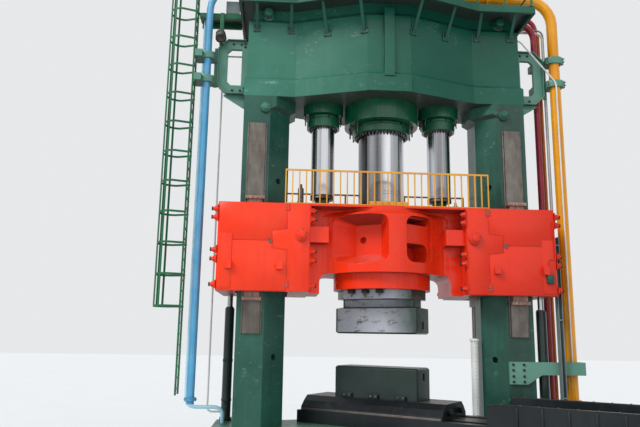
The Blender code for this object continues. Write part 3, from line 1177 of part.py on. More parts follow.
def add_pipes():
    """The pressure pipes, from the pit up to the cylinder heads."""
    foot = LOWER_BEAM_HEIGHT + PIPE_FOOT_ABOVE_BEAM
    run_z = DECK_TOP_Z + DECK_RAIL_HEIGHT * PIPE_RUN_SHARE
    head = MAIN_HEAD_RADIUS
    for name, side, y, radius, x, material in (
            ("yellow_pipe", 1, -FRONT_PIPE_Y, YELLOW_PIPE_RADIUS, FRONT_PIPE_X, PIPE_YELLOW),
            ("blue_pipe", -1, -FRONT_PIPE_Y, BLUE_PIPE_RADIUS, FRONT_PIPE_X, PIPE_BLUE)):
        end_x = port_floor(head, y, radius) + SEAT_GAP
        corners = [(side * x, y, foot), (side * x, y, run_z), (side * end_x, y, run_z)]
        add_pipe(name, corners, radius, PIPE_BEND_RADIUS, material)
    low_z = BEAM_TOP_Z + LOW_RUN_ABOVE_BEAM
    end_x = SIDE_RAM_X + port_floor(SIDE_HEAD_RADIUS, 0.0, RED_PIPE_RADIUS) + SEAT_GAP
    corners = [(RED_PIPE_X, RED_PIPE_Y, foot), (RED_PIPE_X, RED_PIPE_Y, low_z), (end_x, RED_PIPE_Y, low_z)]
    add_pipe("red_pipe", corners, RED_PIPE_RADIUS, LOW_BEND_RADIUS, PIPE_RED)


def ring_outline(rim):
    """The pipe bracket's outline in X and Z; a rim gives the outline of its opening."""
    inner_x = BEAM_HALF_LENGTH - BEAM_WEB_INSET + SEAT_GAP
    band_x = BEAM_HALF_LENGTH + SEAT_GAP
    low, high = BAND_TOP_Z - PIPE_RING_BOTTOM_BELOW_BAND, BAND_TOP_Z + PIPE_RING_TOP_ABOVE_BAND
    cut_off = PIPE_RING_CUT
    shelf = BAND_TOP_Z + BEAM_WEB_INSET + SEAT_GAP
    if rim == 0:
        return [(inner_x, shelf), (inner_x, high), (PIPE_RING_OUTER_X - cut_off, high),
                (PIPE_RING_OUTER_X, high - cut_off), (PIPE_RING_OUTER_X, low + cut_off),
                (PIPE_RING_OUTER_X - cut_off, low), (band_x, low), (band_x, shelf)]
    corner = cut_off * CORNER_FILL_SHARE - rim / 2
    left, right = band_x + rim / 2, PIPE_RING_OUTER_X - rim
    bottom, top = low + rim, high - rim
    return [(left, bottom), (left, top), (right - corner, top), (right, top - corner),
            (right, bottom + corner), (right - corner, bottom)]


def add_pipe_brackets():
    """A ring-shaped plate on each end of the upper beam, with arms and blocks that hold the pipes."""
    front, back = -PIPE_RING_FRONT_Y, -PIPE_RING_FRONT_Y + PIPE_RING_THICKNESS
    for side_name, side, radius, heights in (("left", -1, BLUE_PIPE_RADIUS, LEFT_CLAMP_HEIGHTS),
                                             ("right", 1, YELLOW_PIPE_RADIUS, RIGHT_CLAMP_HEIGHTS)):
        mirror = Matrix.Scale(side, 4, (1, 0, 0))
        name = "pipe_bracket_" + side_name
        mesh = move(slab_y(name, ring_outline(0), front, back), mirror)
        bracket = add_object(name, mesh, BRACKET_GREEN)
        opening = slab_y("opening", ring_outline(PIPE_RING_RIM), front - CUT_OVERRUN, back + CUT_OVERRUN)
        cut(bracket, move(opening, mirror))
        for height in heights:
            low = BAND_TOP_Z + PIPE_RING_CUT + height
            high = low + CLAMP_HEIGHT
            far = FRONT_PIPE_X + radius + CLAMP_RIM
            if side < 0:
                far = LADDER_X - LADDER_BAR / 2 - SEAT_GAP
            arm = box("arm", (PIPE_RING_OUTER_X - PIPE_RING_RIM / 2, front, low), (far, back, high))
            weld(bracket, move(arm, mirror))
            block = box("block", (FRONT_PIPE_X - radius - CLAMP_RIM, -FRONT_PIPE_Y, low),
                        (FRONT_PIPE_X + radius + CLAMP_RIM, front + CUT_OVERRUN, high))
            weld(bracket, move(block, mirror))
            pipe_notch(bracket, side * FRONT_PIPE_X, -FRONT_PIPE_Y, radius, low, high)
            if side < 0:
                gate = box("gate_arm", (far - CLAMP_HEIGHT, -LADDER_Y - LADDER_HALF_WIDTH, low),
                           (far, front + CUT_OVERRUN, high))
                weld(bracket, move(gate, mirror))
                continue
            block = box("block", (RED_PIPE_X - RED_PIPE_RADIUS - CLAMP_RIM, back - CUT_OVERRUN, low),
                        (RED_PIPE_X + RED_PIPE_RADIUS + CLAMP_RIM, RED_PIPE_RADIUS + CLAMP_RIM, high))
            weld(bracket, block)
            pipe_notch(bracket, RED_PIPE_X, RED_PIPE_Y, RED_PIPE_RADIUS, low, high)


def pipe_notch(target, x, y, radius, low, high):
    """The hole or half-round seat that a clamp block leaves for its pipe."""
    seat = (radius + SEAT_GAP) / cos(pi / SMALL_SEGMENTS)
    profile = [(0, low - CUT_OVERRUN), (seat, low - CUT_OVERRUN), (seat, high + CUT_OVERRUN),
               (0, high + CUT_OVERRUN)]
    cut(target, turned("notch", profile, SMALL_SEGMENTS, (x, y)))


def add_lower_bracket():
    """The tapered plate on the right post that holds the pipes and the cable channel."""
    low = LOWER_BEAM_HEIGHT + LOW_BRACKET_BOTTOM
    high = low + LOW_BRACKET_HEIGHT
    arm_low = high - LOW_BRACKET_ARM_HEIGHT
    far = FRONT_PIPE_X + YELLOW_PIPE_RADIUS + CLAMP_RIM
    back = -POST_HALF_DEPTH - SEAT_GAP
    front = back - LOW_BRACKET_THICKNESS
    outline = [(LOW_BRACKET_INNER_X, low), (LOW_BRACKET_BEND_X, low), (LOW_BRACKET_SLOPE_X, arm_low),
               (far, arm_low), (far, high), (LOW_BRACKET_INNER_X, high)]
    bracket = add_object("lower_pipe_bracket", slab_y("lower_pipe_bracket", outline, front, back), BRACKET_GREEN)
    block = box("block", (FRONT_PIPE_X - YELLOW_PIPE_RADIUS - CLAMP_RIM, back - CUT_OVERRUN / 2, arm_low),
                (far, -FRONT_PIPE_Y, high))
    weld(bracket, block)
    pipe_notch(bracket, FRONT_PIPE_X, -FRONT_PIPE_Y, YELLOW_PIPE_RADIUS, arm_low, high)
    channel_back = front - SEAT_GAP
    channel_front = channel_back - CHANNEL_DEPTH
    x0, x1, wall = CHANNEL_INNER_X, CHANNEL_INNER_X + CHANNEL_WIDTH, CHANNEL_WALL
    outline = [(x0, channel_front), (x0 + wall, channel_front), (x0 + wall, channel_back - wall),
               (x1 - wall, channel_back - wall), (x1 - wall, channel_front), (x1, channel_front),
               (x1, channel_back), (x0, channel_back)]
    bottom = LOWER_BEAM_HEIGHT + CHANNEL_BOTTOM
    mesh = prism("cable_channel", outline, bottom, bottom + CHANNEL_LENGTH)
    add_object("cable_channel", mesh, CHANNEL_GREY)


def add_ladder():
    """The caged ladder beside the left pipe, held by the left bracket's arms."""
    bottom = LOWER_BEAM_HEIGHT + LADDER_BOTTOM
    top = DECK_TOP_Z + DECK_RAIL_HEIGHT
    x = -LADDER_X
    rungs = int((top - bottom) / LADDER_PITCH)
    heights = [bottom]
    for number in range(rungs):
        rung = bottom + LADDER_PITCH / 2 + number * LADDER_PITCH
        heights += [rung, rung + LADDER_RUNG]
    heights.append(top)
    half, bar = LADDER_HALF_WIDTH, LADDER_BAR
    path = [(x, -LADDER_Y + half), (x, -LADDER_Y + half - bar), (x, -LADDER_Y - half + bar), (x, -LADDER_Y - half)]
    made = lattice("ladder", path, heights, lambda column, row: column != 1 or row % 2 == 1, LADDER_BAR)
    add_lattice("ladder", made, LADDER_GREEN)
    add_cage(bottom, top)


def add_cage(bottom, top):
    """The cage round the ladder: hoops and upright strips on a half-round path."""
    x = -LADDER_X - LADDER_BAR / 2 - SEAT_GAP
    half = LADDER_HALF_WIDTH
    strip = CAGE_STRIP
    path = [(x, -LADDER_Y + half)]
    centre_x = x - CAGE_RADIUS
    turn_steps = (CAGE_BAR_COUNT + 1) * 2
    for step in range(turn_steps + 1):
        angle = pi / 2 + pi * step / turn_steps
        middle = Vector((centre_x + CAGE_RADIUS * cos(angle), -LADDER_Y + CAGE_RADIUS * sin(angle)))
        tangent = Vector((-sin(angle), cos(angle)))
        if step % 2 == 0 and 0 < step < turn_steps:
            path += [tuple(middle - tangent * strip / 2), tuple(middle + tangent * strip / 2)]
        else:
            path.append(tuple(middle))
    path.append((x, -LADDER_Y - half))
    spans = [hypot(b[0] - a[0], b[1] - a[1]) for a, b in zip(path, path[1:])]
    bars = [index for index, span in enumerate(spans) if span < strip + SEAT_GAP]
    heights = []
    start = bottom + CAGE_START
    hoops = int((top - start) / CAGE_PITCH)
    for number in range(hoops + 1):
        heights += [start + number * CAGE_PITCH, start + number * CAGE_PITCH + strip]
    made = lattice("ladder_cage", path, heights, lambda column, row: row % 2 == 0 or column in bars, CAGE_BAR)
    add_lattice("ladder_cage", made, LADDER_GREEN)


def build_press():
    add_lower_beam()
    add_post("left_post", -1)
    add_post("right_post", 1)
    add_upper_beam()
    add_tie_rods()
    add_guides()
    add_cylinders_and_rams()
    add_crosshead_centre()
    add_housing("crosshead_housing_left", -1)
    add_housing("crosshead_housing_right", 1)
    add_return_cylinders()
    add_bed_and_table()
    add_dies()
    add_guardrails()
    add_stroke_gauge()
    add_deck()
    add_deck_rail()
    add_pipes()
    add_pipe_brackets()
    add_lower_bracket()
    add_ladder()


build_press()
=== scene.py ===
# %% [markdown]
# # Dressing a two-post forging press
# The press is a solid model already: beams, posts, rams, dies and rails stand where they belong. This
# lesson gives it its looks. It sets up a camera and soft light, mixes a finish for every kind of surface,
# and then models what a plain solid leaves out, such as bolts, seams, covers and thin pipes. All lengths
# are metres, and pieces are placed from the sizes of the solids that carry them.

# %% Load the solid model
import json
from math import cos, hypot, pi, radians, sin

import bmesh
import bpy
from mathutils import Matrix, Vector


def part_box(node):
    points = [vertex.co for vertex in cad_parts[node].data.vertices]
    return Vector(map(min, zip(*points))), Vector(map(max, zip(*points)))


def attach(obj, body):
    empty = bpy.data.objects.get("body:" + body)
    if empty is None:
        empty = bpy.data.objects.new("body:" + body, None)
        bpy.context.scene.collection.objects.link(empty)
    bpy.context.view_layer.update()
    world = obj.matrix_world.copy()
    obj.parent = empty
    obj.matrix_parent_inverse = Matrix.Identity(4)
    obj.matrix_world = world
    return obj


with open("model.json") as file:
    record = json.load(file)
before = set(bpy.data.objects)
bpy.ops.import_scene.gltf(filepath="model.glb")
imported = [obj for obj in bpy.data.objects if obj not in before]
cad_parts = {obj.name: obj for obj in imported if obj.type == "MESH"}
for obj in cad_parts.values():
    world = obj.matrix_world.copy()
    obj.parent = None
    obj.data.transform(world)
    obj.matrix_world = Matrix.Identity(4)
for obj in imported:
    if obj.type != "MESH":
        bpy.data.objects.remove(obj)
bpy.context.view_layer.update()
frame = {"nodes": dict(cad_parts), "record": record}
nodes = frame["nodes"]
print("solid nodes:", len(nodes))

# %% [markdown]
# ## Camera
# The press is seen by a standing person, a little left of its middle, who looks up. The camera is turned
# by a matrix whose columns are its right side, its top and its back, which keeps three angles apart:
# heading, upward tilt and the slight lean of a hand-held picture.

# %% Camera
EYE = Vector((-3.015, -18.947, 5.10))
HEADING, TILT, LEAN = radians(3.396), radians(10.87), radians(0.872)
FOCAL_LENGTH = 35.42

ahead = Vector((sin(HEADING) * cos(TILT), cos(HEADING) * cos(TILT), sin(TILT)))
level_right = Vector((cos(HEADING), -sin(HEADING), 0.0))
level_up = level_right.cross(ahead)
lens_right = level_right * cos(LEAN) + level_up * sin(LEAN)
lens_up = level_up * cos(LEAN) - level_right * sin(LEAN)
camera_data = bpy.data.cameras.new("camera")
camera_data.lens = FOCAL_LENGTH
camera_data.sensor_width = 36.0
camera_data.clip_end = 500.0
camera = bpy.data.objects.new("camera", camera_data)
bpy.context.scene.collection.objects.link(camera)
camera.matrix_world = Matrix.Translation(EYE) @ Matrix((lens_right, lens_up, -ahead)).transposed().to_4x4()
bpy.context.scene.camera = camera
print("camera lens:", FOCAL_LENGTH)

# %% [markdown]
# ## Shader tools
# A finish is easier to read as arithmetic than as boxes and wires. The small class below wraps one
# socket, and each operator adds the Math node that does the sum. The second class holds one material,
# adds any other node, and files the finished material under its name.

# %% Arithmetic on sockets
class Signal:
    """One number that varies over a surface."""

    def __init__(self, finish, socket):
        self.finish = finish
        self.socket = socket

    def math(self, operation, *values):
        node = self.finish.tree.nodes.new("ShaderNodeMath")
        node.operation = operation
        for socket, value in zip(node.inputs, values):
            self.finish.feed(socket, value)
        return Signal(self.finish, node.outputs[0])

    def __add__(self, other):
        return self.math("ADD", self, other)

    def __radd__(self, other):
        return self.math("ADD", other, self)

    def __sub__(self, other):
        return self.math("SUBTRACT", self, other)

    def __rsub__(self, other):
        return self.math("SUBTRACT", other, self)

    def __mul__(self, other):
        return self.math("MULTIPLY", self, other)

    def __rmul__(self, other):
        return self.math("MULTIPLY", other, self)

    def above(self, other):
        return self.math("GREATER_THAN", self, other)

    def clamp(self):
        return self.math("MAXIMUM", self.math("MINIMUM", self, 1.0), 0.0)


# %% One material and its nodes
FINISHES = {}


class Finish:
    """A Principled material that is built node by node."""

    def __init__(self, name, roughness=0.5, metallic=0.0, coat=0.0, mirror=0.5):
        self.material = FINISHES[name] = bpy.data.materials.new(name)
        self.material.use_nodes = True
        self.tree = self.material.node_tree
        self.shader = self.tree.nodes["Principled BSDF"]
        for socket, value in (("Roughness", roughness), ("Metallic", metallic), ("Coat Weight", coat),
                              ("Coat Roughness", 0.15), ("Specular IOR Level", mirror)):
            self.shader.inputs[socket].default_value = value

    def feed(self, socket, value):
        if isinstance(value, Signal):
            self.tree.links.new(value.socket, socket)
        elif isinstance(value, tuple) and len(value) == 3 and len(socket.default_value) == 4:
            socket.default_value = (*value, 1.0)
        else:
            socket.default_value = value

    def node(self, kind, settings=None, inputs=None, output=0):
        node = self.tree.nodes.new("ShaderNode" + kind)
        for key, value in (settings or {}).items():
            setattr(node, key, value)
        for key, value in (inputs or {}).items():
            self.feed(node.inputs[key], value)
        return Signal(self, node.outputs[output])

    def place(self, scale=(1.0, 1.0, 1.0)):
        coordinates = self.node("TexCoord", output="Object")
        return self.node("Mapping", inputs={"Vector": coordinates, "Scale": scale})

    def noise(self, scale, detail=3.0, stretch=(1.0, 1.0, 1.0), roughness=0.5):
        return self.node("TexNoise", inputs={"Vector": self.place(stretch), "Scale": scale,
                                             "Detail": detail, "Roughness": roughness})

    def ramp(self, signal, low, high):
        """Black below the low value, white above the high one."""
        ramp = self.node("ValToRGB", inputs={"Fac": signal})
        stops = ramp.socket.node.color_ramp.elements
        for stop, position, shade in zip(stops, (low, high), (0.0, 1.0)):
            stop.position = position
            stop.color = (shade, shade, shade, 1.0)
        return ramp

    def mix(self, factor, first, second):
        return self.node("Mix", {"data_type": "RGBA", "clamp_factor": True},
                         {"Factor": factor, "A": first, "B": second}, output="Result")

    def axis(self, name):
        return self.node("SeparateXYZ", inputs={"Vector": self.place()}, output=name)

    def facing(self, name):
        """One axis of the surface's own direction: Z is 1 on a top face and -1 on an underside."""
        direction = self.node("NewGeometry", output="Normal")
        return self.node("SeparateXYZ", inputs={"Vector": direction}, output=name)

    def bevel(self, radius):
        return self.node("Bevel", {"samples": 4}, {"Radius": radius})

    def edge(self, radius, low=0.02, high=0.35):
        """Where two faces meet: one on the edge, nought away from it."""
        flat = self.node("NewGeometry", output="Normal")
        match = self.node("VectorMath", {"operation": "DOT_PRODUCT"}, {0: self.bevel(radius), 1: flat},
                          output="Value")
        return self.ramp(1.0 - match, low, high)

    def finish(self, colour, roughness, height, depth, round_radius=None):
        """Wire up colour, polish, relief and, where a radius is given, rounded edges."""
        self.feed(self.shader.inputs["Base Color"], colour)
        self.feed(self.shader.inputs["Roughness"], roughness)
        inputs = {"Strength": 1.0, "Distance": depth, "Height": height}
        if round_radius is not None:
            inputs["Normal"] = self.bevel(round_radius)
        self.feed(self.shader.inputs["Normal"], self.node("Bump", inputs=inputs))


print("shader tools ready")

# %% [markdown]
# ## Light and floor
# A machine this glossy needs something pale to mirror, so the world is a soft white dome. A broad sun
# from the left models the forms, and a softer one fills in from the front. The floor is pale and plain,
# and where the camera or a mirror looks past it, the world shows the same pale grey.

# %% World, sun and floor
AMBIENT = 0.56
BACKDROP = (0.80, 0.81, 0.82)
SKY_WHITE = (0.93, 0.97, 1.0)
world = bpy.data.worlds.new("world")
bpy.context.scene.world = world
world.use_nodes = True
sky = world.node_tree.nodes
sky.clear()


def background(colour, strength):
    node = sky.new("ShaderNodeBackground")
    node.inputs["Color"].default_value = (*colour, 1.0)
    node.inputs["Strength"].default_value = strength
    return node.outputs[0]


path = sky.new("ShaderNodeLightPath")
either = sky.new("ShaderNodeMath")
either.operation = "MAXIMUM"
blend_sky = sky.new("ShaderNodeMixShader")
for source, target in ((path.outputs["Is Camera Ray"], either.inputs[0]),
                       (path.outputs["Is Glossy Ray"], either.inputs[1]),
                       (either.outputs[0], blend_sky.inputs["Fac"]),
                       (background(SKY_WHITE, AMBIENT), blend_sky.inputs[1]),
                       (background(BACKDROP, 1.0), blend_sky.inputs[2]),
                       (blend_sky.outputs[0], sky.new("ShaderNodeOutputWorld").inputs["Surface"])):
    world.node_tree.links.new(source, target)

# lamp: energy, spread in degrees, turns about X, Y and Z in degrees
LAMPS = {"key": (2.1, 22.0, (50.0, 0.0, -54.0)), "fill": (0.60, 60.0, (62.0, 0.0, 12.0))}
for lamp_name, (energy, spread, angles) in LAMPS.items():
    lamp = bpy.data.lights.new(lamp_name, "SUN")
    lamp.energy = energy
    lamp.angle = radians(spread)
    lamp_object = bpy.data.objects.new(lamp_name, lamp)
    lamp_object.rotation_euler = [radians(angle) for angle in angles]
    bpy.context.scene.collection.objects.link(lamp_object)

FLOOR_SIZE = 260.0
bpy.ops.object.select_all(action="DESELECT")
bpy.ops.mesh.primitive_plane_add(size=FLOOR_SIZE, location=(0, 0, 0))
floor = bpy.context.object
floor.name = "floor"
floor_finish = Finish("floor_finish", roughness=0.8)
tone = floor_finish.mix(floor_finish.noise(0.3, 2.0), BACKDROP, (0.84, 0.85, 0.86))
floor_finish.feed(floor_finish.shader.inputs["Base Color"], tone)
floor.data.materials.append(floor_finish.material)
bpy.context.scene.view_settings.view_transform = "Standard"
print("lamps:", len(LAMPS))

# %% [markdown]
# ## Painted castings
# The frame is cast steel under thick glossy paint. Such paint waves where the casting waves, is patchy in
# tone and carries runs down its walls. Undersides are painted dark as painted shade, and tops are dusty. Some
# castings are painted darker towards the right, as painted shade of a light from the left. The beam and posts
# show scrapes, the posts are greasy beside their strips, and edges get a painted highlight. The upper die's
# front is painted pale grey on its left part, a painted reflection of bright light in its glossy paint.

# %% Paint on castings
# painted shade: the dark colour that faces looking down are painted with
UNDERSIDE_SHADE = (0.032, 0.026, 0.023)
FLOOR_DUST = (0.13, 0.12, 0.10)
SCRAPED = (0.36, 0.50, 0.44)
GREASE = (0.016, 0.019, 0.015)


def casting_paint(name, base, light, dust, wave=0.006, gloss=0.34, streak_share=0.2, edge_radius=0.025,
                  deep=None, shade_from=-2.0, shade_to=5.0, scrapes=0.0, greasy_x=None, underside_shade=0.8):
    """Thick glossy paint on a rough casting: painted shade below and towards the right, a painted highlight on edges,
    and dust on top.
    """
    paint = Finish(name, coat=0.08, mirror=0.24)
    broad = paint.ramp(paint.noise(0.45, 4.0, roughness=0.6), 0.36, 0.68)
    patches = paint.ramp(paint.noise(2.6, 5.0, roughness=0.7), 0.50, 0.72)
    streaks = paint.ramp(paint.noise(1.6, 6.0, (3.0, 3.0, 0.22), 0.65), 0.52, 0.80)
    colour = paint.mix(broad * 0.8, base, light)
    colour = paint.mix(patches * 0.18, colour, light)
    colour = paint.mix(streaks * streak_share, colour, dust)
    # painted shade: the colour grows darker towards the right, where less light falls
    if deep is not None:
        along = (paint.axis("X") - shade_from) * (1.0 / (shade_to - shade_from))
        colour = paint.mix(along.clamp() * (0.75 + 0.25 * broad), colour, deep)
    if greasy_x is not None:
        offset = paint.axis("X") - greasy_x
        near = 1.0 - paint.ramp(offset.math("ABSOLUTE", offset) * 1.6, 0.40, 0.80)
        colour = paint.mix(near * (0.45 + 0.35 * patches), colour, GREASE)
    if scrapes:
        bright = paint.ramp(paint.noise(3.4, 8.0, (1.0, 1.0, 1.7), 0.75), 0.58, 0.70)
        worn = paint.ramp(paint.noise(0.55, 3.0, roughness=0.6), 0.46, 0.64)
        colour = paint.mix(bright * worn * scrapes, colour, SCRAPED)
    # painted highlight: edges are painted in the lighter tone
    colour = paint.mix(paint.edge(edge_radius) * 0.4, colour, light)
    upward = paint.facing("Z")
    # painted shade: faces that look down are painted darker
    below = paint.ramp(upward * -1.0, 0.55, 0.95) * underside_shade
    above = paint.ramp(upward, 0.80, 0.98) * (0.25 + 0.35 * patches)
    colour = paint.mix(below * (0.75 + 0.25 * broad), colour, UNDERSIDE_SHADE)
    colour = paint.mix(above, colour, FLOOR_DUST)
    roughness = gloss + 0.20 * streaks + 0.08 * patches + 0.25 * below + 0.3 * above
    lumps = paint.noise(0.9, 3.0, roughness=0.5) + 0.12 * paint.noise(9.0, 3.0)
    paint.finish(colour, roughness, lumps, wave, edge_radius)


# frame_green is painted darker towards the right as painted shade
casting_paint("frame_green", (0.020, 0.130, 0.085), (0.050, 0.200, 0.140), (0.085, 0.235, 0.180), 0.016, 0.34, 0.30,
              deep=(0.001, 0.070, 0.042), shade_from=-3.5, shade_to=0.6, scrapes=0.75)
casting_paint("deck_green", (0.004, 0.062, 0.040), (0.014, 0.110, 0.075), (0.05, 0.15, 0.11), 0.003, 0.40, 0.2, 0.01)
casting_paint("post_green", (0.008, 0.054, 0.037), (0.028, 0.112, 0.080), (0.060, 0.150, 0.115), 0.014, 0.30, 0.26,
              scrapes=0.45, greasy_x=3.84)
# crosshead_red is painted darker towards the right as painted shade
casting_paint("crosshead_red", (0.80, 0.026, 0.004), (0.90, 0.048, 0.010), (0.40, 0.016, 0.008), 0.010, 0.26, 0.22,
              0.02, deep=(0.50, 0.020, 0.006), shade_from=-2.5, shade_to=6.5)
casting_paint("bracket_green", (0.075, 0.215, 0.155), (0.140, 0.300, 0.230), (0.16, 0.30, 0.25), 0.004, 0.38, 0.3,
              0.01)
casting_paint("ladder_green", (0.008, 0.095, 0.036), (0.022, 0.155, 0.070), (0.08, 0.18, 0.12), 0.002, 0.4, 0.25,
              0.006)
casting_paint("die_green", (0.010, 0.021, 0.018), (0.030, 0.048, 0.042), (0.018, 0.016, 0.014), 0.010, 0.30, 0.40,
              0.02, underside_shade=0.5)
casting_paint("table_steel", (0.005, 0.008, 0.010), (0.013, 0.018, 0.020), (0.045, 0.040, 0.034), 0.005, 0.36, 0.22,
              0.008)

# the upper die and its holder: mottled dark steel with cracks, carrying a painted reflection and painted shade
die = Finish("die_painted_sheen", roughness=0.4, coat=0.12, mirror=0.4)
broad = die.ramp(die.noise(0.9, 4.0, roughness=0.6), 0.36, 0.66)
cracks = die.ramp(die.noise(2.2, 8.0, (1.0, 1.0, 1.6), 0.8), 0.56, 0.62)
colour = die.mix(broad, (0.012, 0.026, 0.021), (0.034, 0.058, 0.048))
# painted reflection: the left part of faces that look to the front is painted pale grey, as bright light mirrored in
# glossy paint
front = die.ramp(die.facing("Y") * -1.0, 0.70, 0.80)
reach = 1.0 - die.ramp(die.axis("X") * 0.5 + 0.5 + 0.10 * broad, 0.58, 0.92)
colour = die.mix(front * reach * (1.0 - cracks * 0.8) * 0.9, colour, (0.42, 0.43, 0.48))
# painted shade: faces that look down are painted darker
colour = die.mix(die.ramp(die.facing("Z") * -1.0, 0.55, 0.95) * 0.6, colour, UNDERSIDE_SHADE)
die.finish(colour, 0.30 + 0.25 * cracks, cracks * -0.5 + broad, 0.006, 0.02)
print("casting paints mixed:", len(FINISHES))

# %% [markdown]
# ## Machined paint, yellow rails and pipes
# Turned covers, rails and pipes are smoother than castings: their paint is even, with fine dust, a few
# chips down to primer, and dirt that gathers in drops. One function covers them, with the chips kept
# small by the threshold of a fine noise.

# %% Paint on smooth steel
def smooth_paint(name, base, light, chip, gloss=0.32, dirt_share=0.25):
    """Even paint with fine chips and a little dirt."""
    chips = 0.16
    paint = Finish(name, coat=0.10, mirror=0.35)
    broad = paint.ramp(paint.noise(1.3, 4.0), 0.35, 0.70)
    soil = paint.ramp(paint.noise(3.2, 6.0, (2.0, 2.0, 0.35), 0.7), 0.52, 0.82)
    fine = paint.noise(34.0, 4.0, roughness=0.65)
    flakes = fine.above(0.66 + 0.10 * (1.0 - chips))
    colour = paint.mix(broad, base, light)
    colour = paint.mix(soil * dirt_share, colour, (0.05, 0.05, 0.045))
    colour = paint.mix(flakes * chips * 4.0, colour, chip)
    above = paint.ramp(paint.facing("Z"), 0.80, 0.98) * 0.4
    colour = paint.mix(above, colour, FLOOR_DUST)
    paint.finish(colour, gloss + 0.2 * soil + 0.3 * above, fine * 0.3 - flakes, 0.0012, 0.008)


smooth_paint("tube_dark", (0.010, 0.020, 0.018), (0.018, 0.034, 0.030), (0.05, 0.07, 0.06), 0.14)
smooth_paint("cylinder_green", (0.003, 0.060, 0.026), (0.006, 0.100, 0.046), (0.05, 0.11, 0.08), 0.28)
smooth_paint("guard_yellow", (0.62, 0.27, 0.010), (0.74, 0.36, 0.020), (0.26, 0.14, 0.04), 0.36)
# the rear guardrail's finish is the guard yellow painted darker, as painted shade
smooth_paint("rear_yellow_shaded", (0.34, 0.14, 0.02), (0.44, 0.20, 0.035), (0.16, 0.08, 0.03), 0.45)
smooth_paint("pipe_yellow", (0.70, 0.26, 0.003), (0.80, 0.34, 0.006), (0.30, 0.17, 0.03), 0.26)
smooth_paint("pipe_blue", (0.065, 0.28, 0.49), (0.105, 0.36, 0.58), (0.22, 0.28, 0.32), 0.30)
smooth_paint("pale_blue", (0.33, 0.60, 0.74), (0.44, 0.70, 0.82), (0.36, 0.46, 0.50), 0.34)
smooth_paint("pipe_red", (0.27, 0.011, 0.024), (0.33, 0.026, 0.042), (0.20, 0.08, 0.07), 0.34)
smooth_paint("pipe_orange", (0.62, 0.16, 0.012), (0.74, 0.22, 0.02), (0.25, 0.14, 0.06), 0.34)
smooth_paint("gauge_white", (0.55, 0.56, 0.54), (0.68, 0.69, 0.66), (0.28, 0.26, 0.22), 0.42, 0.45)
smooth_paint("channel_grey", (0.12, 0.16, 0.16), (0.19, 0.23, 0.23), (0.30, 0.30, 0.28), 0.4)
print("paints mixed:", len(FINISHES))

# %% [markdown]
# ## Bare steel and tread plates
# Rams are ground and chromed: almost a mirror, with soft upright bands of dark and light painted round them
# as a painted reflection, faint grinding rings and a thin film of oil. Guide strips, shoes and bolts are
# browned or dark steel, wiped in upright streaks. Tread plates carry raised lozenges that come from two
# crossed sine waves, worn bright on top.

# %% Rams, worn steel and treads
steel = Finish("ram_steel", metallic=1.0)
# painted reflection: soft upright bands of dark and light round each ram
bands = steel.ramp(steel.noise(2.1, 1.0, (1.0, 1.0, 0.012)), 0.36, 0.64)
rings = steel.noise(3.0, 5.0, (0.15, 0.15, 26.0), 0.6)
film = steel.ramp(steel.noise(1.4, 4.0, (2.4, 2.4, 0.18)), 0.45, 0.75)
colour = steel.mix(bands, (0.13, 0.13, 0.14), (0.62, 0.63, 0.66))
colour = steel.mix(film * 0.35, colour, (0.30, 0.29, 0.28))
colour = steel.mix(steel.ramp(rings, 0.45, 0.75) * 0.2, colour, (0.36, 0.37, 0.38))
steel.finish(colour, 0.17 + 0.10 * film + 0.05 * rings, rings, 0.0005, 0.01)


def worn_steel(name, dark, bright, metallic, rough, stretch=(6.0, 6.0, 0.25), wave=0.001):
    """Bare or browned steel, wiped in streaks, with grime in patches and bright edges."""
    steel = Finish(name, metallic=metallic)
    streaks = steel.ramp(steel.noise(2.4, 6.0, stretch, 0.68), 0.36, 0.70)
    grime = steel.ramp(steel.noise(7.0, 5.0, roughness=0.7), 0.52, 0.75)
    colour = steel.mix(streaks, dark, bright)
    colour = steel.mix(grime * 0.45, colour, dark)
    colour = steel.mix(steel.edge(0.012) * 0.6, colour, bright)
    steel.finish(colour, rough + 0.18 * grime - 0.10 * streaks, streaks + grime * 0.4, wave, 0.008)


def tread_paint(name, base, bright):
    """Chequer plate: lozenges in two directions, worn bright on top."""
    paint = Finish(name, roughness=0.5, mirror=0.35)
    along = (paint.axis("X") + paint.axis("Y")) * 45.0
    across = (paint.axis("X") - paint.axis("Y")) * 45.0
    lugs = paint.ramp(along.math("SINE", along) * across.math("SINE", across), 0.45, 0.62)
    dust = paint.ramp(paint.noise(5.0, 4.0), 0.45, 0.7)
    colour = paint.mix(dust * 0.5, base, FLOOR_DUST)
    colour = paint.mix(lugs * 0.55, colour, bright)
    paint.finish(colour, 0.55 - 0.2 * lugs, lugs, 0.004)


worn_steel("guide_steel", (0.085, 0.070, 0.060), (0.165, 0.145, 0.130), 0.55, 0.40, (1.3, 1.3, 0.5), 0.0004)
worn_steel("shoe_steel", (0.20, 0.105, 0.080), (0.42, 0.27, 0.22), 0.3, 0.5)
worn_steel("dark_steel", (0.010, 0.010, 0.012), (0.045, 0.050, 0.055), 0.6, 0.35)
worn_steel("cable_grey", (0.055, 0.075, 0.095), (0.13, 0.165, 0.19), 0.2, 0.45)
worn_steel("rod_steel", (0.10, 0.10, 0.10), (0.34, 0.34, 0.34), 0.9, 0.36)
worn_steel("bolt_steel", (0.045, 0.042, 0.040), (0.19, 0.18, 0.17), 0.8, 0.45, (4.0, 4.0, 4.0))
tread_paint("red_tread", (0.48, 0.016, 0.005), (0.62, 0.14, 0.10))
tread_paint("green_tread", (0.010, 0.085, 0.052), (0.16, 0.26, 0.21))
print("finishes mixed:", len(FINISHES))

# %% [markdown]
# ## Dress the solids
# Every solid keeps its shape and gets its finish. Most solids wear the finish that is named like their
# slot; a short table names the ones that differ. The die_steel slot, which has no finish of its own name,
# wears the die_green finish.

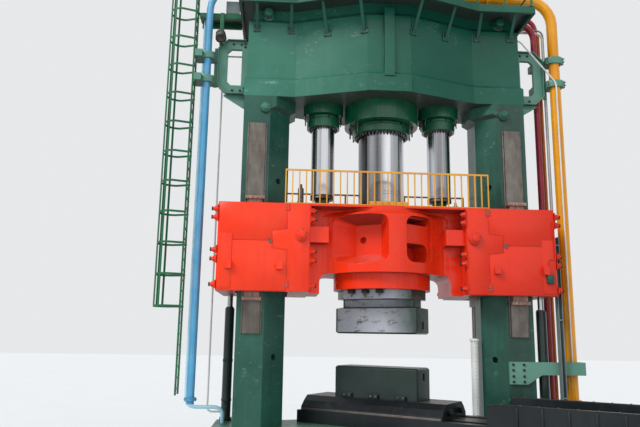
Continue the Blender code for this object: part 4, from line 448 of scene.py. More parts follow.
# %% Give every solid its finish
SPECIAL_FINISH = {"left_post": "post_green", "right_post": "post_green", "rear_guardrail": "rear_yellow_shaded",
                  "return_cylinder_right_front": "tube_dark", "return_cylinder_left_rear": "tube_dark",
                  "top_deck": "deck_green", "upper_die": "die_painted_sheen", "upper_die_holder": "die_painted_sheen"}
FINISHES["die_steel"] = FINISHES["die_green"]
slot_of = {part["node"]: part["material_slot"] for part in frame["record"]["subparts"]}
for node_name, node_object in nodes.items():
    node_object.data.materials.clear()
    node_object.data.materials.append(FINISHES[SPECIAL_FINISH.get(node_name, slot_of[node_name])])
    node_object.select_set(False)
print("solids dressed:", len(nodes))

# %% [markdown]
# ## Modelling tools
# Every added piece starts as a primitive and is shaped with the operators that a person uses in edit mode.
# An operator works on what is selected, so these helpers select by place, and leave nothing selected that
# the next step might catch.

# %% Start, select, finish
SMOOTH_ANGLE = radians(32.0)
UNTURNED = Matrix.Identity(4)
HALF_TURN = Matrix.Rotation(pi, 4, "Z")
MIRROR = Matrix.Scale(-1.0, 4, (1, 0, 0))
SIDES = (-1, 1)
box_of = {name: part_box(name) for name in nodes}


def middle(name):
    """Where a solid's middle is, seen from above."""
    low, high = box_of[name]
    return (low.x + high.x) / 2, (low.y + high.y) / 2


def only(piece):
    bpy.ops.object.select_all(action="DESELECT")
    piece.select_set(True)
    bpy.context.view_layer.objects.active = piece


def settle(piece):
    only(piece)
    bpy.ops.object.transform_apply(location=True, rotation=True, scale=True)
    return piece


def fresh(add, **settings):
    """Add a primitive with nothing else selected."""
    bpy.ops.object.select_all(action="DESELECT")
    add(**settings)
    return settle(bpy.context.object)


def bar(radius, height, sides, base=0.0, **settings):
    """A round or many-sided bar that stands upright at a height."""
    return fresh(bpy.ops.mesh.primitive_cylinder_add, vertices=sides, radius=radius, depth=height,
                 location=(0, 0, base + height / 2), **settings)


def block(length, width, height, edge, segments=2):
    """A block that stands on the origin, with all its edges broken."""
    piece = fresh(bpy.ops.mesh.primitive_cube_add, size=1, scale=(length, width, height),
                  location=(0, 0, height / 2))
    return chamfer(piece, edge, lambda side: True, segments)


def mark(piece, kind, test):
    """In edit mode, select the faces or edges that pass a test."""
    bpy.ops.mesh.select_mode(type=kind)
    bpy.ops.mesh.select_all(action="DESELECT")
    shape = bmesh.from_edit_mesh(piece.data)
    for part in {"EDGE": shape.edges, "FACE": shape.faces}[kind]:
        part.select_set(bool(test(part)))
    bmesh.update_edit_mesh(piece.data)


def chamfer(piece, width, test, segments=2):
    """Round off the edges that pass a test."""
    only(piece)
    bpy.ops.object.mode_set(mode="EDIT")
    mark(piece, "EDGE", test)
    bpy.ops.mesh.bevel(offset=width, segments=segments, affect="EDGES")
    bpy.ops.object.mode_set(mode="OBJECT")
    return piece


def at_height(z, slack=1e-4):
    return lambda edge: all(abs(corner.co.z - z) < slack for corner in edge.verts)


def draw_out(piece, top, foot=()):
    """Shape the end faces of a bar by steps: inset, lift (a new band) or scale."""
    only(piece)
    bpy.ops.object.mode_set(mode="EDIT")
    for end, steps in ((1, top), (-1, foot)):
        if steps:
            mark(piece, "FACE", lambda face: face.normal.z * end > 0.9)
        for verb, amount in steps:
            if verb == "inset":
                bpy.ops.mesh.inset(thickness=amount)
            elif verb == "lift":
                bpy.ops.mesh.extrude_region_move(TRANSFORM_OT_translate={"value": (0, 0, amount)})
            else:
                bpy.ops.transform.resize(value=(amount, amount, 1.0))
    bpy.ops.object.mode_set(mode="OBJECT")
    return piece


def modify(piece, kind, **settings):
    """Add one modifier and apply it."""
    only(piece)
    step = piece.modifiers.new(kind.lower(), kind)
    for key, value in settings.items():
        setattr(step, key, value)
    bpy.ops.object.modifier_apply(modifier=step.name)
    return piece


def soften(piece, width, **settings):
    """Break the sharp edges."""
    return modify(piece, "BEVEL", width=width, segments=2, limit_method="ANGLE", **settings)


def join(parts):
    bpy.ops.object.select_all(action="DESELECT")
    for part in parts:
        part.select_set(True)
    bpy.context.view_layer.objects.active = parts[0]
    if len(parts) > 1:
        bpy.ops.object.join()
    return bpy.context.object


def keep(piece, name, finish="bolt_steel", body="frame"):
    """Name a finished piece, or a list of parts, give it its finish, and let it ride on a body."""
    piece = settle(join(piece) if isinstance(piece, list) else piece)
    bpy.ops.object.shade_smooth_by_angle(angle=SMOOTH_ANGLE)
    piece.name = name
    piece.data.name = name
    piece.data.materials.clear()
    piece.data.materials.append(FINISHES[finish])
    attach(piece, body)
    piece.select_set(False)


def repeat(model, places):
    """Copy a model to every place, each copy with its own mesh, and join the copies."""
    settle(model)
    copies = []
    for place in places:
        copy = model.copy()
        copy.data = model.data.copy()
        copy.data.transform(place)
        if place.determinant() < 0:
            copy.data.flip_normals()
        bpy.context.scene.collection.objects.link(copy)
        copies.append(copy)
    bpy.data.objects.remove(model)
    return join(copies)


def spread(model, places, name, finish="bolt_steel", body="frame"):
    keep(repeat(model, places), name, finish, body)


def at(x, y, z):
    return Matrix.Translation((x, y, z))


def toward(location, direction, spin=0.0):
    """The place of a model that stands at a point and points along a direction."""
    quaternion = Vector(direction).to_track_quat("Z", "Y")
    return Matrix.Translation(location) @ quaternion.to_matrix().to_4x4() @ Matrix.Rotation(spin, 4, "Z")


def ring_of(count, radius, centre, z, direction=(0, 0, 1)):
    """Places spread evenly round an upright axis."""
    angles = [2 * pi * number / count for number in range(count)]
    return [toward((centre[0] + radius * cos(angle), centre[1] + radius * sin(angle), z), direction, angle)
            for angle in angles]


print("modelling tools ready")

# %% [markdown]
# ## Bolts, nuts and studs
# Heavy presses are held by hexagon bolts as thick as an arm. One bolt is a six-sided bar with its top edge
# bevelled, on a round washer. A stud is a nut on a longer threaded end. Both are made to size by one
# function each, and every bolted joint of the press then copies one of them.

# %% Bolt and stud models
WASHER_SHARE = 0.18
WASHER_WIDTH = 1.35


def hex_bolt(radius, height):
    """A hexagon head on a washer, standing on the origin and pointing up."""
    washer_height = height * WASHER_SHARE
    head = bar(radius, height - washer_height, 6, washer_height)
    chamfer(head, radius * 0.14, at_height(height), 1)
    return join([head, bar(radius * WASHER_WIDTH, washer_height, 14)])


def stud(radius, nut_height, length):
    """A nut on a round threaded end that stands out of it."""
    nut = hex_bolt(radius, nut_height)
    end = chamfer(bar(radius * 0.6, length, 10), radius * 0.12, at_height(length), 1)
    return join([nut, end])


print("bolt models ready")

# %% [markdown]
# ## Plates of any outline
# Cover plates, gussets and lips are flat sheets with outlines of their own. A plate starts as a filled
# circle with as many corners as its outline; the corners are moved to their places, Solidify gives the
# thickness, and Bevel breaks the edges. A sleeve gets its wall in the same way.

# %% A plate from its outline
FACING_FRONT = Matrix(((1, 0, 0, 0), (0, 0, -1, 0), (0, 1, 0, 0), (0, 0, 0, 1)))
FACING_RIGHT = Matrix(((0, 0, 1, 0), (1, 0, 0, 0), (0, 1, 0, 0), (0, 0, 0, 1)))


def plate(outline, thickness, edge, place):
    """A flat plate, drawn in X and Y with its back on the origin's plane, and then put in its place."""
    bpy.ops.object.select_all(action="DESELECT")
    bpy.ops.mesh.primitive_circle_add(vertices=len(outline), fill_type="NGON")
    sheet = bpy.context.object
    for corner, (x, y) in zip(sheet.data.vertices, outline):
        corner.co = (x, y, 0)
    sheet.data.update()
    if sheet.data.polygons[0].normal.z < 0:
        sheet.data.flip_normals()
    modify(sheet, "SOLIDIFY", thickness=thickness, offset=1.0)
    soften(sheet, edge)
    sheet.matrix_world = place
    return settle(sheet)


def front(x, y, z):
    """The place of a plate that faces the front."""
    return at(x, y, z) @ FACING_FRONT


def rectangle(x0, x1, y0, y1):
    return [(x0, y0), (x1, y0), (x1, y1), (x0, y1)]


def sleeve(radius, height, wall, sides=40):
    """A ring that is open in its middle, for a tube in which something slides."""
    ring = bar(radius, height, sides, end_fill_type="NOTHING")
    modify(ring, "SOLIDIFY", thickness=wall, offset=-1.0)
    return soften(ring, 0.004)


print("plates ready")

# %% [markdown]
# ## Finding the surface
# Small fittings must sit exactly on what carries them. Instead of typing in where a wall is, the script
# shoots a ray at the solid and takes the point it hits, together with the direction in which the surface
# faces there. That also works on sloping walls.

# %% Where a ray meets a solid
def touch(name, origin, direction):
    """The first point of a solid on a ray, and the direction its surface faces there."""
    hit, spot, normal, _ = nodes[name].ray_cast(Vector(origin), Vector(direction).normalized())
    if not hit:
        print("ray missed", name, tuple(origin))
        return Vector(origin), Vector(direction) * -1.0
    return spot, normal


def from_front(name, x, z, side=-1.0):
    """Touch a solid with a level ray from the front, or from the rear with side 1."""
    return touch(name, (x, side * 20.0, z), (0, -side, 0))


print("beam front at the middle:", round(from_front("upper_beam", 0.0, 13.5)[0].y, 3))

# %% [markdown]
# ## Cylinder flanges and glands
# Each ram comes out of a gland that hangs under its cylinder's flange. Between the two runs a groove that
# is filled by curved keys with small gaps, long studs hang from the flange at both sides, and a close ring
# of bolt heads sits round the ram like teeth. A key is a plate whose outline is a piece of a ring; all of
# it is made once and copied round the axis, with radii that are read from the solids.

# %% Keys, studs and teeth of the three glands
# set: cylinder, gland, ram, number of keys, number of teeth, radius of the studs
RAM_SETS = {"main": ("main_cylinder", "main_gland", "main_ram", 8, 40, 0.040),
            "left": ("side_cylinder_left", "side_gland_left", "side_ram_left", 6, 24, 0.030),
            "right": ("side_cylinder_right", "side_gland_right", "side_ram_right", 6, 24, 0.030)}
STUD_ANGLES = [radians(angle) for angle in (-34, -12, 12, 34, 146, 168, 192, 214)]
KEY_STEPS = 6


def half_width(name):
    return (box_of[name][1].x - box_of[name][0].x) / 2


def ring_piece(inner, outer, angle):
    """The outline of a piece of a ring, centred on the X axis."""
    turns = [angle * (step / KEY_STEPS - 0.5) for step in range(KEY_STEPS + 1)]
    return ([(outer * cos(turn), outer * sin(turn)) for turn in turns]
            + [(inner * cos(turn), inner * sin(turn)) for turn in reversed(turns)])


for set_name, (cylinder, gland, ram, key_count, tooth_count, size) in RAM_SETS.items():
    low, high = box_of[gland]
    centre = middle(gland)
    gland_radius, ram_radius = half_width(gland), half_width(ram)
    reach = gland_radius + size * 1.9
    flange_z = box_of[cylinder][0].z - 0.001
    places = [toward((centre[0] + reach * cos(angle), centre[1] + reach * sin(angle), flange_z), (0, 0, -1), angle)
              for angle in STUD_ANGLES]
    spread(stud(size, size * 1.7, size * 7.5), places, "gland_studs_" + set_name)
    tooth_radius = ram_radius + (gland_radius - ram_radius) * 0.36
    places = ring_of(tooth_count, tooth_radius, centre, low.z - 0.001, (0, 0, -1))
    spread(hex_bolt(size * 0.85, size * 2.0), places, "gland_bolts_" + set_name)
    key_height = (high.z - low.z) / 3 - 0.035
    key = plate(ring_piece(gland_radius - 0.060, gland_radius - 0.006, 2 * pi / key_count - 0.09), key_height,
                0.006, UNTURNED)
    places = [at(*centre, high.z - key_height - 0.018) @ Matrix.Rotation(2 * pi * (number + 0.28) / key_count, 4, "Z")
              for number in range(key_count)]
    spread(key, places, "gland_keys_" + set_name, "cylinder_green")
print("glands bolted:", len(RAM_SETS))

# %% [markdown]
# ## Cylinder heads and the yellow ring
# On top of the beam the cylinder heads are closed by covers with their own bolts, and the ring round the
# foot of the main ram is screwed to the crosshead. A cover is a cylinder whose top face is inset and
# pushed down, which leaves a raised rim.

# %% Head covers and ring bolts
# cover: cylinder, radius of the cover, number of bolts, radius of the bolts
HEAD_COVERS = {"main": ("main_cylinder", 0.80, 20, 0.07), "left": ("side_cylinder_left", 0.38, 12, 0.045),
               "right": ("side_cylinder_right", 0.38, 12, 0.045)}
COVER_HEIGHT = 0.09
MAIN_HEAD_RADIUS = 1.10
for cover_name, (cylinder, radius, count, size) in HEAD_COVERS.items():
    head_z = box_of[cylinder][1].z
    cover = draw_out(bar(radius, COVER_HEIGHT, 48), [("inset", radius * 0.25), ("lift", -0.04)])
    chamfer(cover, 0.012, at_height(COVER_HEIGHT))
    spread(cover, [at(*middle(cylinder), head_z)], "head_cover_" + cover_name, "cylinder_green")
    head_radius = min(half_width(cylinder), radius * 1.38, MAIN_HEAD_RADIUS)
    places = ring_of(count, radius + (head_radius - radius) * 0.5, middle(cylinder), head_z)
    spread(hex_bolt(size, size * 1.1), places, "head_bolts_" + cover_name)
places = ring_of(18, half_width("main_ram_ring") - 0.075, (0, 0), box_of["main_ram_ring"][1].z)
spread(hex_bolt(0.032, 0.035), places, "ram_ring_bolts", "guard_yellow", "crosshead")
print("heads covered:", len(HEAD_COVERS))

# %% [markdown]
# ## Crosshead housings
# Each housing is built of two thick halves round its post, clamped by tie bolts. Their joint shows on the
# front as a seam that runs down, jogs sideways round a pin, and goes on down, with a level seam out to the
# end. Thin covers with a small gap between them draw those seams in real relief. The same covers, turned
# half round, serve the rear.

# %% Covers, pin and end plates of the housings
COVER = 0.010
SEAM = 0.012
FACE_Y = -1.42
SEAM_X = 2.89
JOG_X = 3.31
low, high = box_of["crosshead_housing_right"]
jog_top, jog_bottom, level_seam = high.z - 0.77, high.z - 1.33, high.z - 1.09
inner_x, outer_x = low.x + 0.012, high.x - 0.035
bottom_z, top_z = low.z + 0.012, high.z - 0.012
HOUSING_OUTLINES = (
    [(inner_x, bottom_z), (SEAM_X - SEAM, bottom_z), (SEAM_X - SEAM, jog_bottom - SEAM),
     (JOG_X - SEAM, jog_bottom + 0.06 - SEAM), (JOG_X - SEAM, jog_top - 0.05 + SEAM),
     (SEAM_X - SEAM, jog_top + SEAM), (SEAM_X - SEAM, top_z), (inner_x, top_z)],
    [(JOG_X, level_seam + SEAM), (outer_x, level_seam + SEAM), (outer_x, top_z), (SEAM_X, top_z),
     (SEAM_X, jog_top + SEAM * 2), (JOG_X, jog_top - 0.05 + SEAM * 2)],
    [(SEAM_X, bottom_z), (outer_x, bottom_z), (outer_x, level_seam), (JOG_X, level_seam),
     (JOG_X, jog_bottom + 0.06 - SEAM * 2), (SEAM_X, jog_bottom - SEAM * 2)])
covers = [plate(outline, COVER, 0.005, front(0, FACE_Y, 0)) for outline in HOUSING_OUTLINES]
covers.append(plate(rectangle(4.42, outer_x, bottom_z + 0.05, high.z - 0.90), 0.012, 0.005,
                    front(0, FACE_Y - COVER, 0)))
half_set = repeat(join(covers), [UNTURNED, MIRROR])
spread(half_set, [UNTURNED, HALF_TURN], "housing_covers", "crosshead_red", "crosshead")

FACE_MIRRORS = (UNTURNED, MIRROR, HALF_TURN, HALF_TURN @ MIRROR)


def on_face(x, z, lift=0.0):
    """The place of a fitting on the front covers of the right housing."""
    return toward((x, FACE_Y - COVER - lift, z), (0, -1, 0))


pin = draw_out(bar(0.055, 0.03, 24, -0.003), [("inset", 0.018), ("lift", -0.02)])
spread(pin, [face @ on_face(JOG_X + 0.05, level_seam) for face in FACE_MIRRORS], "seam_pins", body="crosshead")
print("housing covers placed")

# %% [markdown]
# ## Tie bolts through the crosshead
# Pairs of thick tie bolts run level through both housings and the wings of the centre casting. Their nuts
# show in the corners beside the wings and at the outer ends. Each is a stud with a long threaded end and a
# dark cap, with a square backing plate under it.

# %% Tie bolt nuts and backing plates
TIE_Y = 1.34
TIE_DOWN = (0.20, 0.44, 1.36, 1.62, 2.33)
BACKING = 0.016
CAP_LIFT = 0.142
nut_places, backing_places = [], []
for down in TIE_DOWN:
    for tie_y in (-TIE_Y, TIE_Y):
        for side in SIDES:
            for x, way in ((high.x, 1), (low.x, -1)):
                direction = (side * way, 0, 0)
                nut_places.append(toward((side * (x + way * BACKING), tie_y, high.z - down), direction, 0.3))
                backing_places.append(toward((side * x, tie_y, high.z - down), direction))
spread(stud(0.085, 0.10, 0.16), nut_places, "tie_bolt_nuts", "crosshead_red", "crosshead")
spread(block(0.235, 0.235, BACKING, 0.004, 1), backing_places, "tie_bolt_plates", "crosshead_red", "crosshead")
cap = chamfer(bar(0.060, 0.034, 20), 0.010, at_height(0.034))
spread(cap, [place @ at(0, 0, CAP_LIFT) for place in nut_places], "tie_bolt_caps", "dark_steel", "crosshead")
print("tie bolt nuts:", len(nut_places))

# %% [markdown]
# ## Strap plates over the seam
# At its top and bottom the seam is bridged by small strap plates with six screws each. From afar their
# heads read as two short rows of dots.

# %% Strap plates
STRAP_THICKNESS = 0.012
STRAP_HEIGHTS = (high.z - 0.13, low.z + 0.20)
strap_x = SEAM_X - SEAM / 2
strap_places = [face @ on_face(strap_x, z) for z in STRAP_HEIGHTS for face in FACE_MIRRORS]
screw_places = [face @ on_face(strap_x + dx, z + dz, STRAP_THICKNESS) for z in STRAP_HEIGHTS for face in FACE_MIRRORS
                for dx in (-0.035, 0.035) for dz in (-0.065, 0.0, 0.065)]
strap = block(0.20, 0.13, STRAP_THICKNESS, 0.003, 1)
strap.data.transform(Matrix.Rotation(pi / 2, 4, "Z"))
spread(strap, strap_places, "seam_straps", "crosshead_red", "crosshead")
spread(hex_bolt(0.016, 0.014), screw_places, "seam_screws", body="crosshead")
print("seam screws:", len(screw_places))

# %% [markdown]
# ## Stepped covers on beam, posts and housings
# Round bosses are closed by turned covers that step outwards, with a pulled-in neck and a ring of small
# screws. The front face of a short bar is inset and pulled out three times, and the sharp rims are
# bevelled.

# %% Stepped covers
# solid on the left, distance from the middle, height, radius, how far the inner step stands out
DISC_SPOTS = [("upper_beam", 3.62, 14.80, 0.188, 0.24), ("left_post", 3.62, 11.75, 0.150, 0.035),
              ("crosshead_housing_left", 2.47, 7.85, 0.165, 0.03)]
SCREW_STANDOFF = 0.033
for solid, x, z, radius, reach in DISC_SPOTS:
    cap = draw_out(bar(radius, 0.02, 28), [("inset", 0.010), ("lift", 0.014), ("inset", radius * 0.22),
                                           ("inset", 0.004), ("lift", reach), ("inset", radius * 0.16),
                                           ("lift", 0.012)])
    soften(cap, 0.005, angle_limit=radians(40.0))
    places, screws = [], []
    for side_x in SIDES:
        for side_y in SIDES:
            carrier = solid.replace("left", "right") if side_x > 0 else solid
            spot, normal = from_front(carrier, side_x * x, z, side_y)
            places.append(toward(spot, normal))
            for number in range(6):
                turn = number * pi / 3 + 0.4
                offset = Vector((cos(turn), 0, sin(turn))) * radius * 0.86
                screws.append(toward(spot + offset + normal * SCREW_STANDOFF, normal))
    body, finish = ("crosshead", "crosshead_red") if "housing" in solid else ("frame", "frame_green")
    label = solid.replace("_left", "").replace("left_", "")
    spread(cap, places, "stepped_covers_" + label, finish, body)
    spread(hex_bolt(0.014, 0.012), screws, "cover_screws_" + label, body=body)
print("stepped covers:", len(DISC_SPOTS) * 4)

# %% [markdown]
# ## Guide strips and shoes
# The crosshead slides on hardened strips. Each strip is held between two narrow keeper bars that are
# screwed to the post every forearm's length. The keepers stay lower than the strip's face, because the
# shoes have to pass over them. Rusty bolts hold the shoes' end plates.

# %% Keeper bars, screws and shoe bolts
KEEPER_WIDTH = 0.045
KEEPER_THICKNESS = 0.032
SCREW_PITCH = 0.38
SCREW_END = 0.08
SHOE_PLATE = 0.045
keepers, keeper_screws, shoe_bolts = [], [], []
for corner in ("left_front", "left_rear", "right_front", "right_rear"):
    low, high = box_of["guide_strip_" + corner]
    side = -1.0 if "front" in corner else 1.0
    screw_count = int((high.z - low.z - 0.1) / SCREW_PITCH)
    for x in (low.x - KEEPER_WIDTH / 2 - 0.004, high.x + KEEPER_WIDTH / 2 + 0.004):
        face_y = from_front(corner.split("_")[0] + "_post", x, low.z + 0.5, side)[0].y
        flip = UNTURNED if side < 0 else HALF_TURN
        keepers.append(plate(rectangle(-KEEPER_WIDTH / 2, KEEPER_WIDTH / 2, 0, high.z - low.z), KEEPER_THICKNESS,
                             0.004, at(x, face_y, low.z) @ flip @ FACING_FRONT))
        for number in range(screw_count + 1):
            z = low.z + SCREW_END + number * (high.z - low.z - 2 * SCREW_END) / screw_count
            keeper_screws.append(toward((x, face_y + side * KEEPER_THICKNESS, z), (0, side, 0), number))
    low, high = box_of["guide_shoe_" + corner]
    plate_y = low.y if side < 0 else high.y
    for z in (low.z + SHOE_PLATE, high.z - SHOE_PLATE):
        for share in (0.14, 0.38, 0.62, 0.86):
            shoe_bolts.append(toward((low.x + (high.x - low.x) * share, plate_y, z), (0, side, 0), share))
keep(keepers, "strip_keepers", "guide_steel")
spread(hex_bolt(0.013, 0.016), keeper_screws, "keeper_screws")
spread(hex_bolt(0.024, 0.028), shoe_bolts, "shoe_bolts", "shoe_steel", "crosshead")
print("keeper screws:", len(keeper_screws), "shoe bolts:", len(shoe_bolts))

# %% [markdown]
# ## Thin pipes
# Beside the thick pressure pipes run thinner ones for oil return, control oil and air. A pipe is a curve
# with a round bevel, led through rounded corners, and then turned into a mesh. The corner points are
# worked out on a smooth arc, so that every bend looks drawn round a former. Most pipes leave the beam's
# end level, go down beside the post, and turn back into the lower beam's top.

# %% Pipe tool
def pipe_run(points, radius, bend=0.25, sides=12, bend_steps=6):
    """A closed round bar along a path with rounded corners."""
    corners = [Vector(point) for point in points]
    track = [corners[0]]
    for before, corner, after in zip(corners, corners[1:], corners[2:]):
        back = (before - corner).normalized() * min(bend, (before - corner).length * 0.49)
        on = (after - corner).normalized() * min(bend, (after - corner).length * 0.49)
        for step in range(bend_steps + 1):
            share = step / bend_steps
            track.append(corner + back * (1 - share) ** 2 + on * share ** 2)
    track.append(corners[-1])
    data = bpy.data.curves.new("run", "CURVE")
    data.dimensions = "3D"
    data.bevel_depth = radius
    data.bevel_resolution = sides // 4
    data.use_fill_caps = True
    spline = data.splines.new("POLY")
    spline.points.add(len(track) - 1)
    for point, spot in zip(spline.points, track):
        point.co = (*spot, 1.0)
    run = bpy.data.objects.new("run", data)
    bpy.context.scene.collection.objects.link(run)
    only(run)
    bpy.ops.object.convert(target="MESH")
    return bpy.context.object


# %% Thin pipes beside the posts
FLOOR_TOP = box_of["lower_beam"][1].z


def post_track(start_x, outer_x, foot_x, y, top, rise):
    """Out of the beam's end, down beside the post, and back into the lower beam's top."""
    turn_z = FLOOR_TOP + rise
    return [(start_x, y, top), (outer_x, y, top), (outer_x, y, turn_z), (foot_x, y, turn_z),
            (foot_x, y, FLOOR_TOP + 0.004)]


# pipe: track, radius, bend, finish
THIN_PIPES = {
    "return_pipe": (post_track(2.2, 5.35, 4.60, 0.42, 15.72, 0.30), 0.080, 0.45, "pipe_red"),
    "orange_pipe": (post_track(4.52, 5.39, 4.45, 0.28, 15.18, 0.42), 0.042, 0.20, "pipe_orange"),
    "pilot_pipe_right": (post_track(4.52, 5.465, 4.45, 0.16, 15.10, 0.55), 0.036, 0.25, "gauge_white"),
    "drain_pipe_right": (post_track(4.52, 5.55, 4.70, 0.28, 15.27, 0.20), 0.030, 0.25, "channel_grey"),
    "air_pipe_right": ([(4.21, -0.74, 14.35), (4.34, -0.76, 14.32), (5.40, -0.84, 12.95), (5.40, -0.84, 4.12)],
                       0.026, 0.12, "gauge_white"),
    "pale_pipe_left": (post_track(-4.52, -5.68, -4.62, 0.10, 15.22, 0.45), 0.055, 0.30, "pale_blue"),
    "pilot_pipe_left": (post_track(-4.31, -5.08, -4.62, 0.30, 13.9, 0.30), 0.028, 0.15, "gauge_white")}
for pipe_name, (track, radius, bend, finish) in THIN_PIPES.items():
    keep(pipe_run(track, radius, bend), pipe_name, finish)
print("thin pipes:", len(THIN_PIPES))

# %% [markdown]
# ## Clamps round the pipes
# Each thick pipe lies in a half-round seat of its bracket and is held from the front by a cap with bolts.
# The cap is a plate whose outline has the half circle cut into one side. Its thickness is the clamp's
# height, so the plate lies flat when it is made and needs no turning.

# %% Clamp caps
CLAMP_HEIGHT = 0.215
CLAMP_WALL = 0.045
CLAMP_Y = -0.6205
# side: x of the pipe, radius of the pipe, heights of the caps
CLAMPS = {"left": (-5.46, 0.111, (12.602, 13.372)), "right": (5.46, 0.166, (12.852, 13.632, 4.13))}
SEAT_STEPS = 10


def half_seat(radius):
    """The outline of a clamp cap, seen from above, with its seat towards the rear."""
    turns = [pi * step / SEAT_STEPS for step in range(SEAT_STEPS + 1)]
    wide, deep = radius + CLAMP_WALL + 0.075, radius + CLAMP_WALL
    return [(radius * cos(turn), -radius * sin(turn)) for turn in turns] + [
        (-wide, 0), (-wide, -deep * 0.45), (-radius * 0.7, -deep), (radius * 0.7, -deep), (wide, -deep * 0.45),
        (wide, 0)]


caps, clamp_bolts = [], []
for x, radius, heights in CLAMPS.values():
    for z in heights:
        caps.append(plate(half_seat(radius), CLAMP_HEIGHT, 0.006, at(x, CLAMP_Y, z)))
        clamp_bolts += [toward((x + side * (radius + 0.085), CLAMP_Y - (radius + CLAMP_WALL) * 0.50,
                                z + CLAMP_HEIGHT * share), (side * 0.35, -1, 0), share)
                        for side in SIDES for share in (0.28, 0.72)]
keep(caps, "clamp_caps", "bracket_green")
spread(stud(0.024, 0.030, 0.075), clamp_bolts, "clamp_bolts")
print("clamp caps:", len(CLAMPS), "sets")

# %% [markdown]
# ## Stiffening the ring brackets
# The ring-shaped brackets at the beam's ends are welded from plate. A flange runs along the outer edge, a
# gusset carries the ring from below, and dark bolts hold it to the beam. All of them are plates that face
# the front, so each is given by its outline in width and height.

# %% Flanges and gussets of the ring brackets
RING = [(4.302, 12.371), (4.86, 12.371), (5.14, 12.651), (5.14, 13.821), (4.86, 14.101), (4.302, 14.101)]
OUTER_RING = [(4.302, 12.341), (4.873, 12.341), (5.17, 12.638), (5.17, 13.834), (4.873, 14.131), (4.302, 14.131)]
GUSSET = [(4.275, 11.88), (4.96, 12.30), (4.96, 12.339), (4.306, 12.339), (4.306, 12.112), (4.275, 12.112)]
# outline, y of the back, thickness
RING_PLATES = ((RING + OUTER_RING[::-1], -0.20, 0.30), (GUSSET, -0.30, 0.05),
               (rectangle(5.171, 5.285, 12.56, 13.86), -0.33, 0.03))
right_ring = join([plate(outline, thickness, 0.005, front(0, y, 0)) for outline, y, thickness in RING_PLATES])
spread(right_ring, [UNTURNED, MIRROR], "ring_flanges", "bracket_green")
RING_BOLTS = ((4.34, 12.44), (4.34, 12.55), (4.34, 13.92), (4.34, 14.03),
              (4.46, 12.47), (4.70, 12.47), (4.46, 14.0), (4.70, 14.0))
places = [toward((side * x, -0.401, z), (0, -1, 0), z) for x, z in RING_BOLTS for side in SIDES]
spread(hex_bolt(0.030, 0.032), places, "ring_bolts", "dark_steel")
print("ring bolts:", len(places))

# %% [markdown]
# ## Lower bracket and cables
# The tapered bracket low on the right post is held by two columns of bolts. In the open channel behind the
# yellow pipe run three control cables, tied by narrow bands. They end in a small junction box.

# %% Bracket bolts, cables and bands
bracket_bolts = [toward(*from_front("lower_pipe_bracket", x, z), z) for x in (3.59, 3.90)
                 for z in (3.87, 4.02, 4.19, 4.34)]
spread(hex_bolt(0.030, 0.034), bracket_bolts, "bracket_bolts", "dark_steel")
low, high = box_of["cable_channel"]
cables = []
for number, radius in enumerate((0.018, 0.014, 0.016)):
    x, y = low.x + 0.038 + number * 0.029, low.y + 0.10 + 0.012 * (number % 2)
    cables.append(pipe_run([(x, y, low.z + 0.02), (x, y, high.z - 0.03)], radius, sides=8))
keep(cables, "channel_cables", "cable_grey")
BAND_HEIGHTS = (low.z + 0.25, (low.z + high.z) / 2, high.z - 0.25)
bands = [plate(rectangle(-0.062, 0.062, -0.02, 0.02), 0.006, 0.002, front(low.x + 0.065, low.y + 0.001, z))
         for z in BAND_HEIGHTS]
bands.append(plate(rectangle(-0.10, 0.10, -0.14, 0.14), 0.12, 0.012,
                   front(low.x + 0.065, low.y + 0.115, low.z - 0.142)))
keep(bands, "channel_bands", "channel_grey")
print("cable bands:", len(BAND_HEIGHTS))

# %% [markdown]
# ## Walkway fittings
# The walkway is carried by struts whose feet are bolted to the beam. Its skirt has a rolled lip along the
# lower edge, its floor is laid with tread plates, and each rail post stands on a small bolted foot. The
# lip follows the deck's outline, so it is a run of round bar through the corners of that outline.

# %% Strut feet and lip
STRUT_SPOTS = [(0.74, 0.97), (1.82, 0.93), (2.92, 0.74), (3.97, 0.71)]
LIP_CORNERS = (-4.49, -2.75, -0.87, 0.87, 2.75, 4.49)
deck_z = box_of["top_deck"][1].z
foot_bolts = []
for x, drop in STRUT_SPOTS:
    for side_x in SIDES:
        for side_y in SIDES:
            for dx, dz in ((-0.08, -0.075), (0.08, -0.075), (-0.08, 0.075), (0.08, 0.075)):
                foot_bolts.append(toward(*from_front("top_deck", side_x * x + dx, deck_z - drop + dz, side_y), dx))
spread(hex_bolt(0.022, 0.030), foot_bolts, "strut_bolts")
lips = []
for side_y in SIDES:
    track = [(x, from_front("top_deck", x, deck_z - 0.20, side_y)[0].y, deck_z - 0.225) for x in LIP_CORNERS]
    lips.append(pipe_run(track, 0.016, 0.02, 8, 2))
keep(lips, "skirt_lip", "frame_green")
print("strut bolts:", len(foot_bolts))

# %% Tread plates and rail feet
TREAD_SPOTS = ((-4.38, -3.60, 1.12, 1.62), (-3.59, -2.80, 1.12, 1.62), (2.80, 3.59, 1.12, 1.62),
               (3.60, 4.38, 1.12, 1.62), (-0.60, -0.004, 1.62, 2.24), (0.004, 0.60, 1.62, 2.24))
treads = [plate(rectangle(*spot), 0.006, 0.002, at(0, 0, deck_z) @ turn)
          for turn in (HALF_TURN, UNTURNED) for spot in TREAD_SPOTS]
keep(treads, "tread_plates", "green_tread")
rail_feet, feet_bolts = [], []
for side in SIDES:
    for post_y in (-1.6, -0.75, 0.75, 1.6):
        rail_feet.append(plate(rectangle(-0.07, 0.07, -0.09, 0.09), 0.012, 0.003, at(side * 4.37, post_y, deck_z)))
        feet_bolts += [toward((side * 4.33, post_y + dy, deck_z + 0.012), (0, 0, 1)) for dy in (-0.055, 0.055)]
keep(rail_feet, "rail_feet", "ladder_green")
spread(hex_bolt(0.014, 0.014), feet_bolts, "rail_foot_bolts")
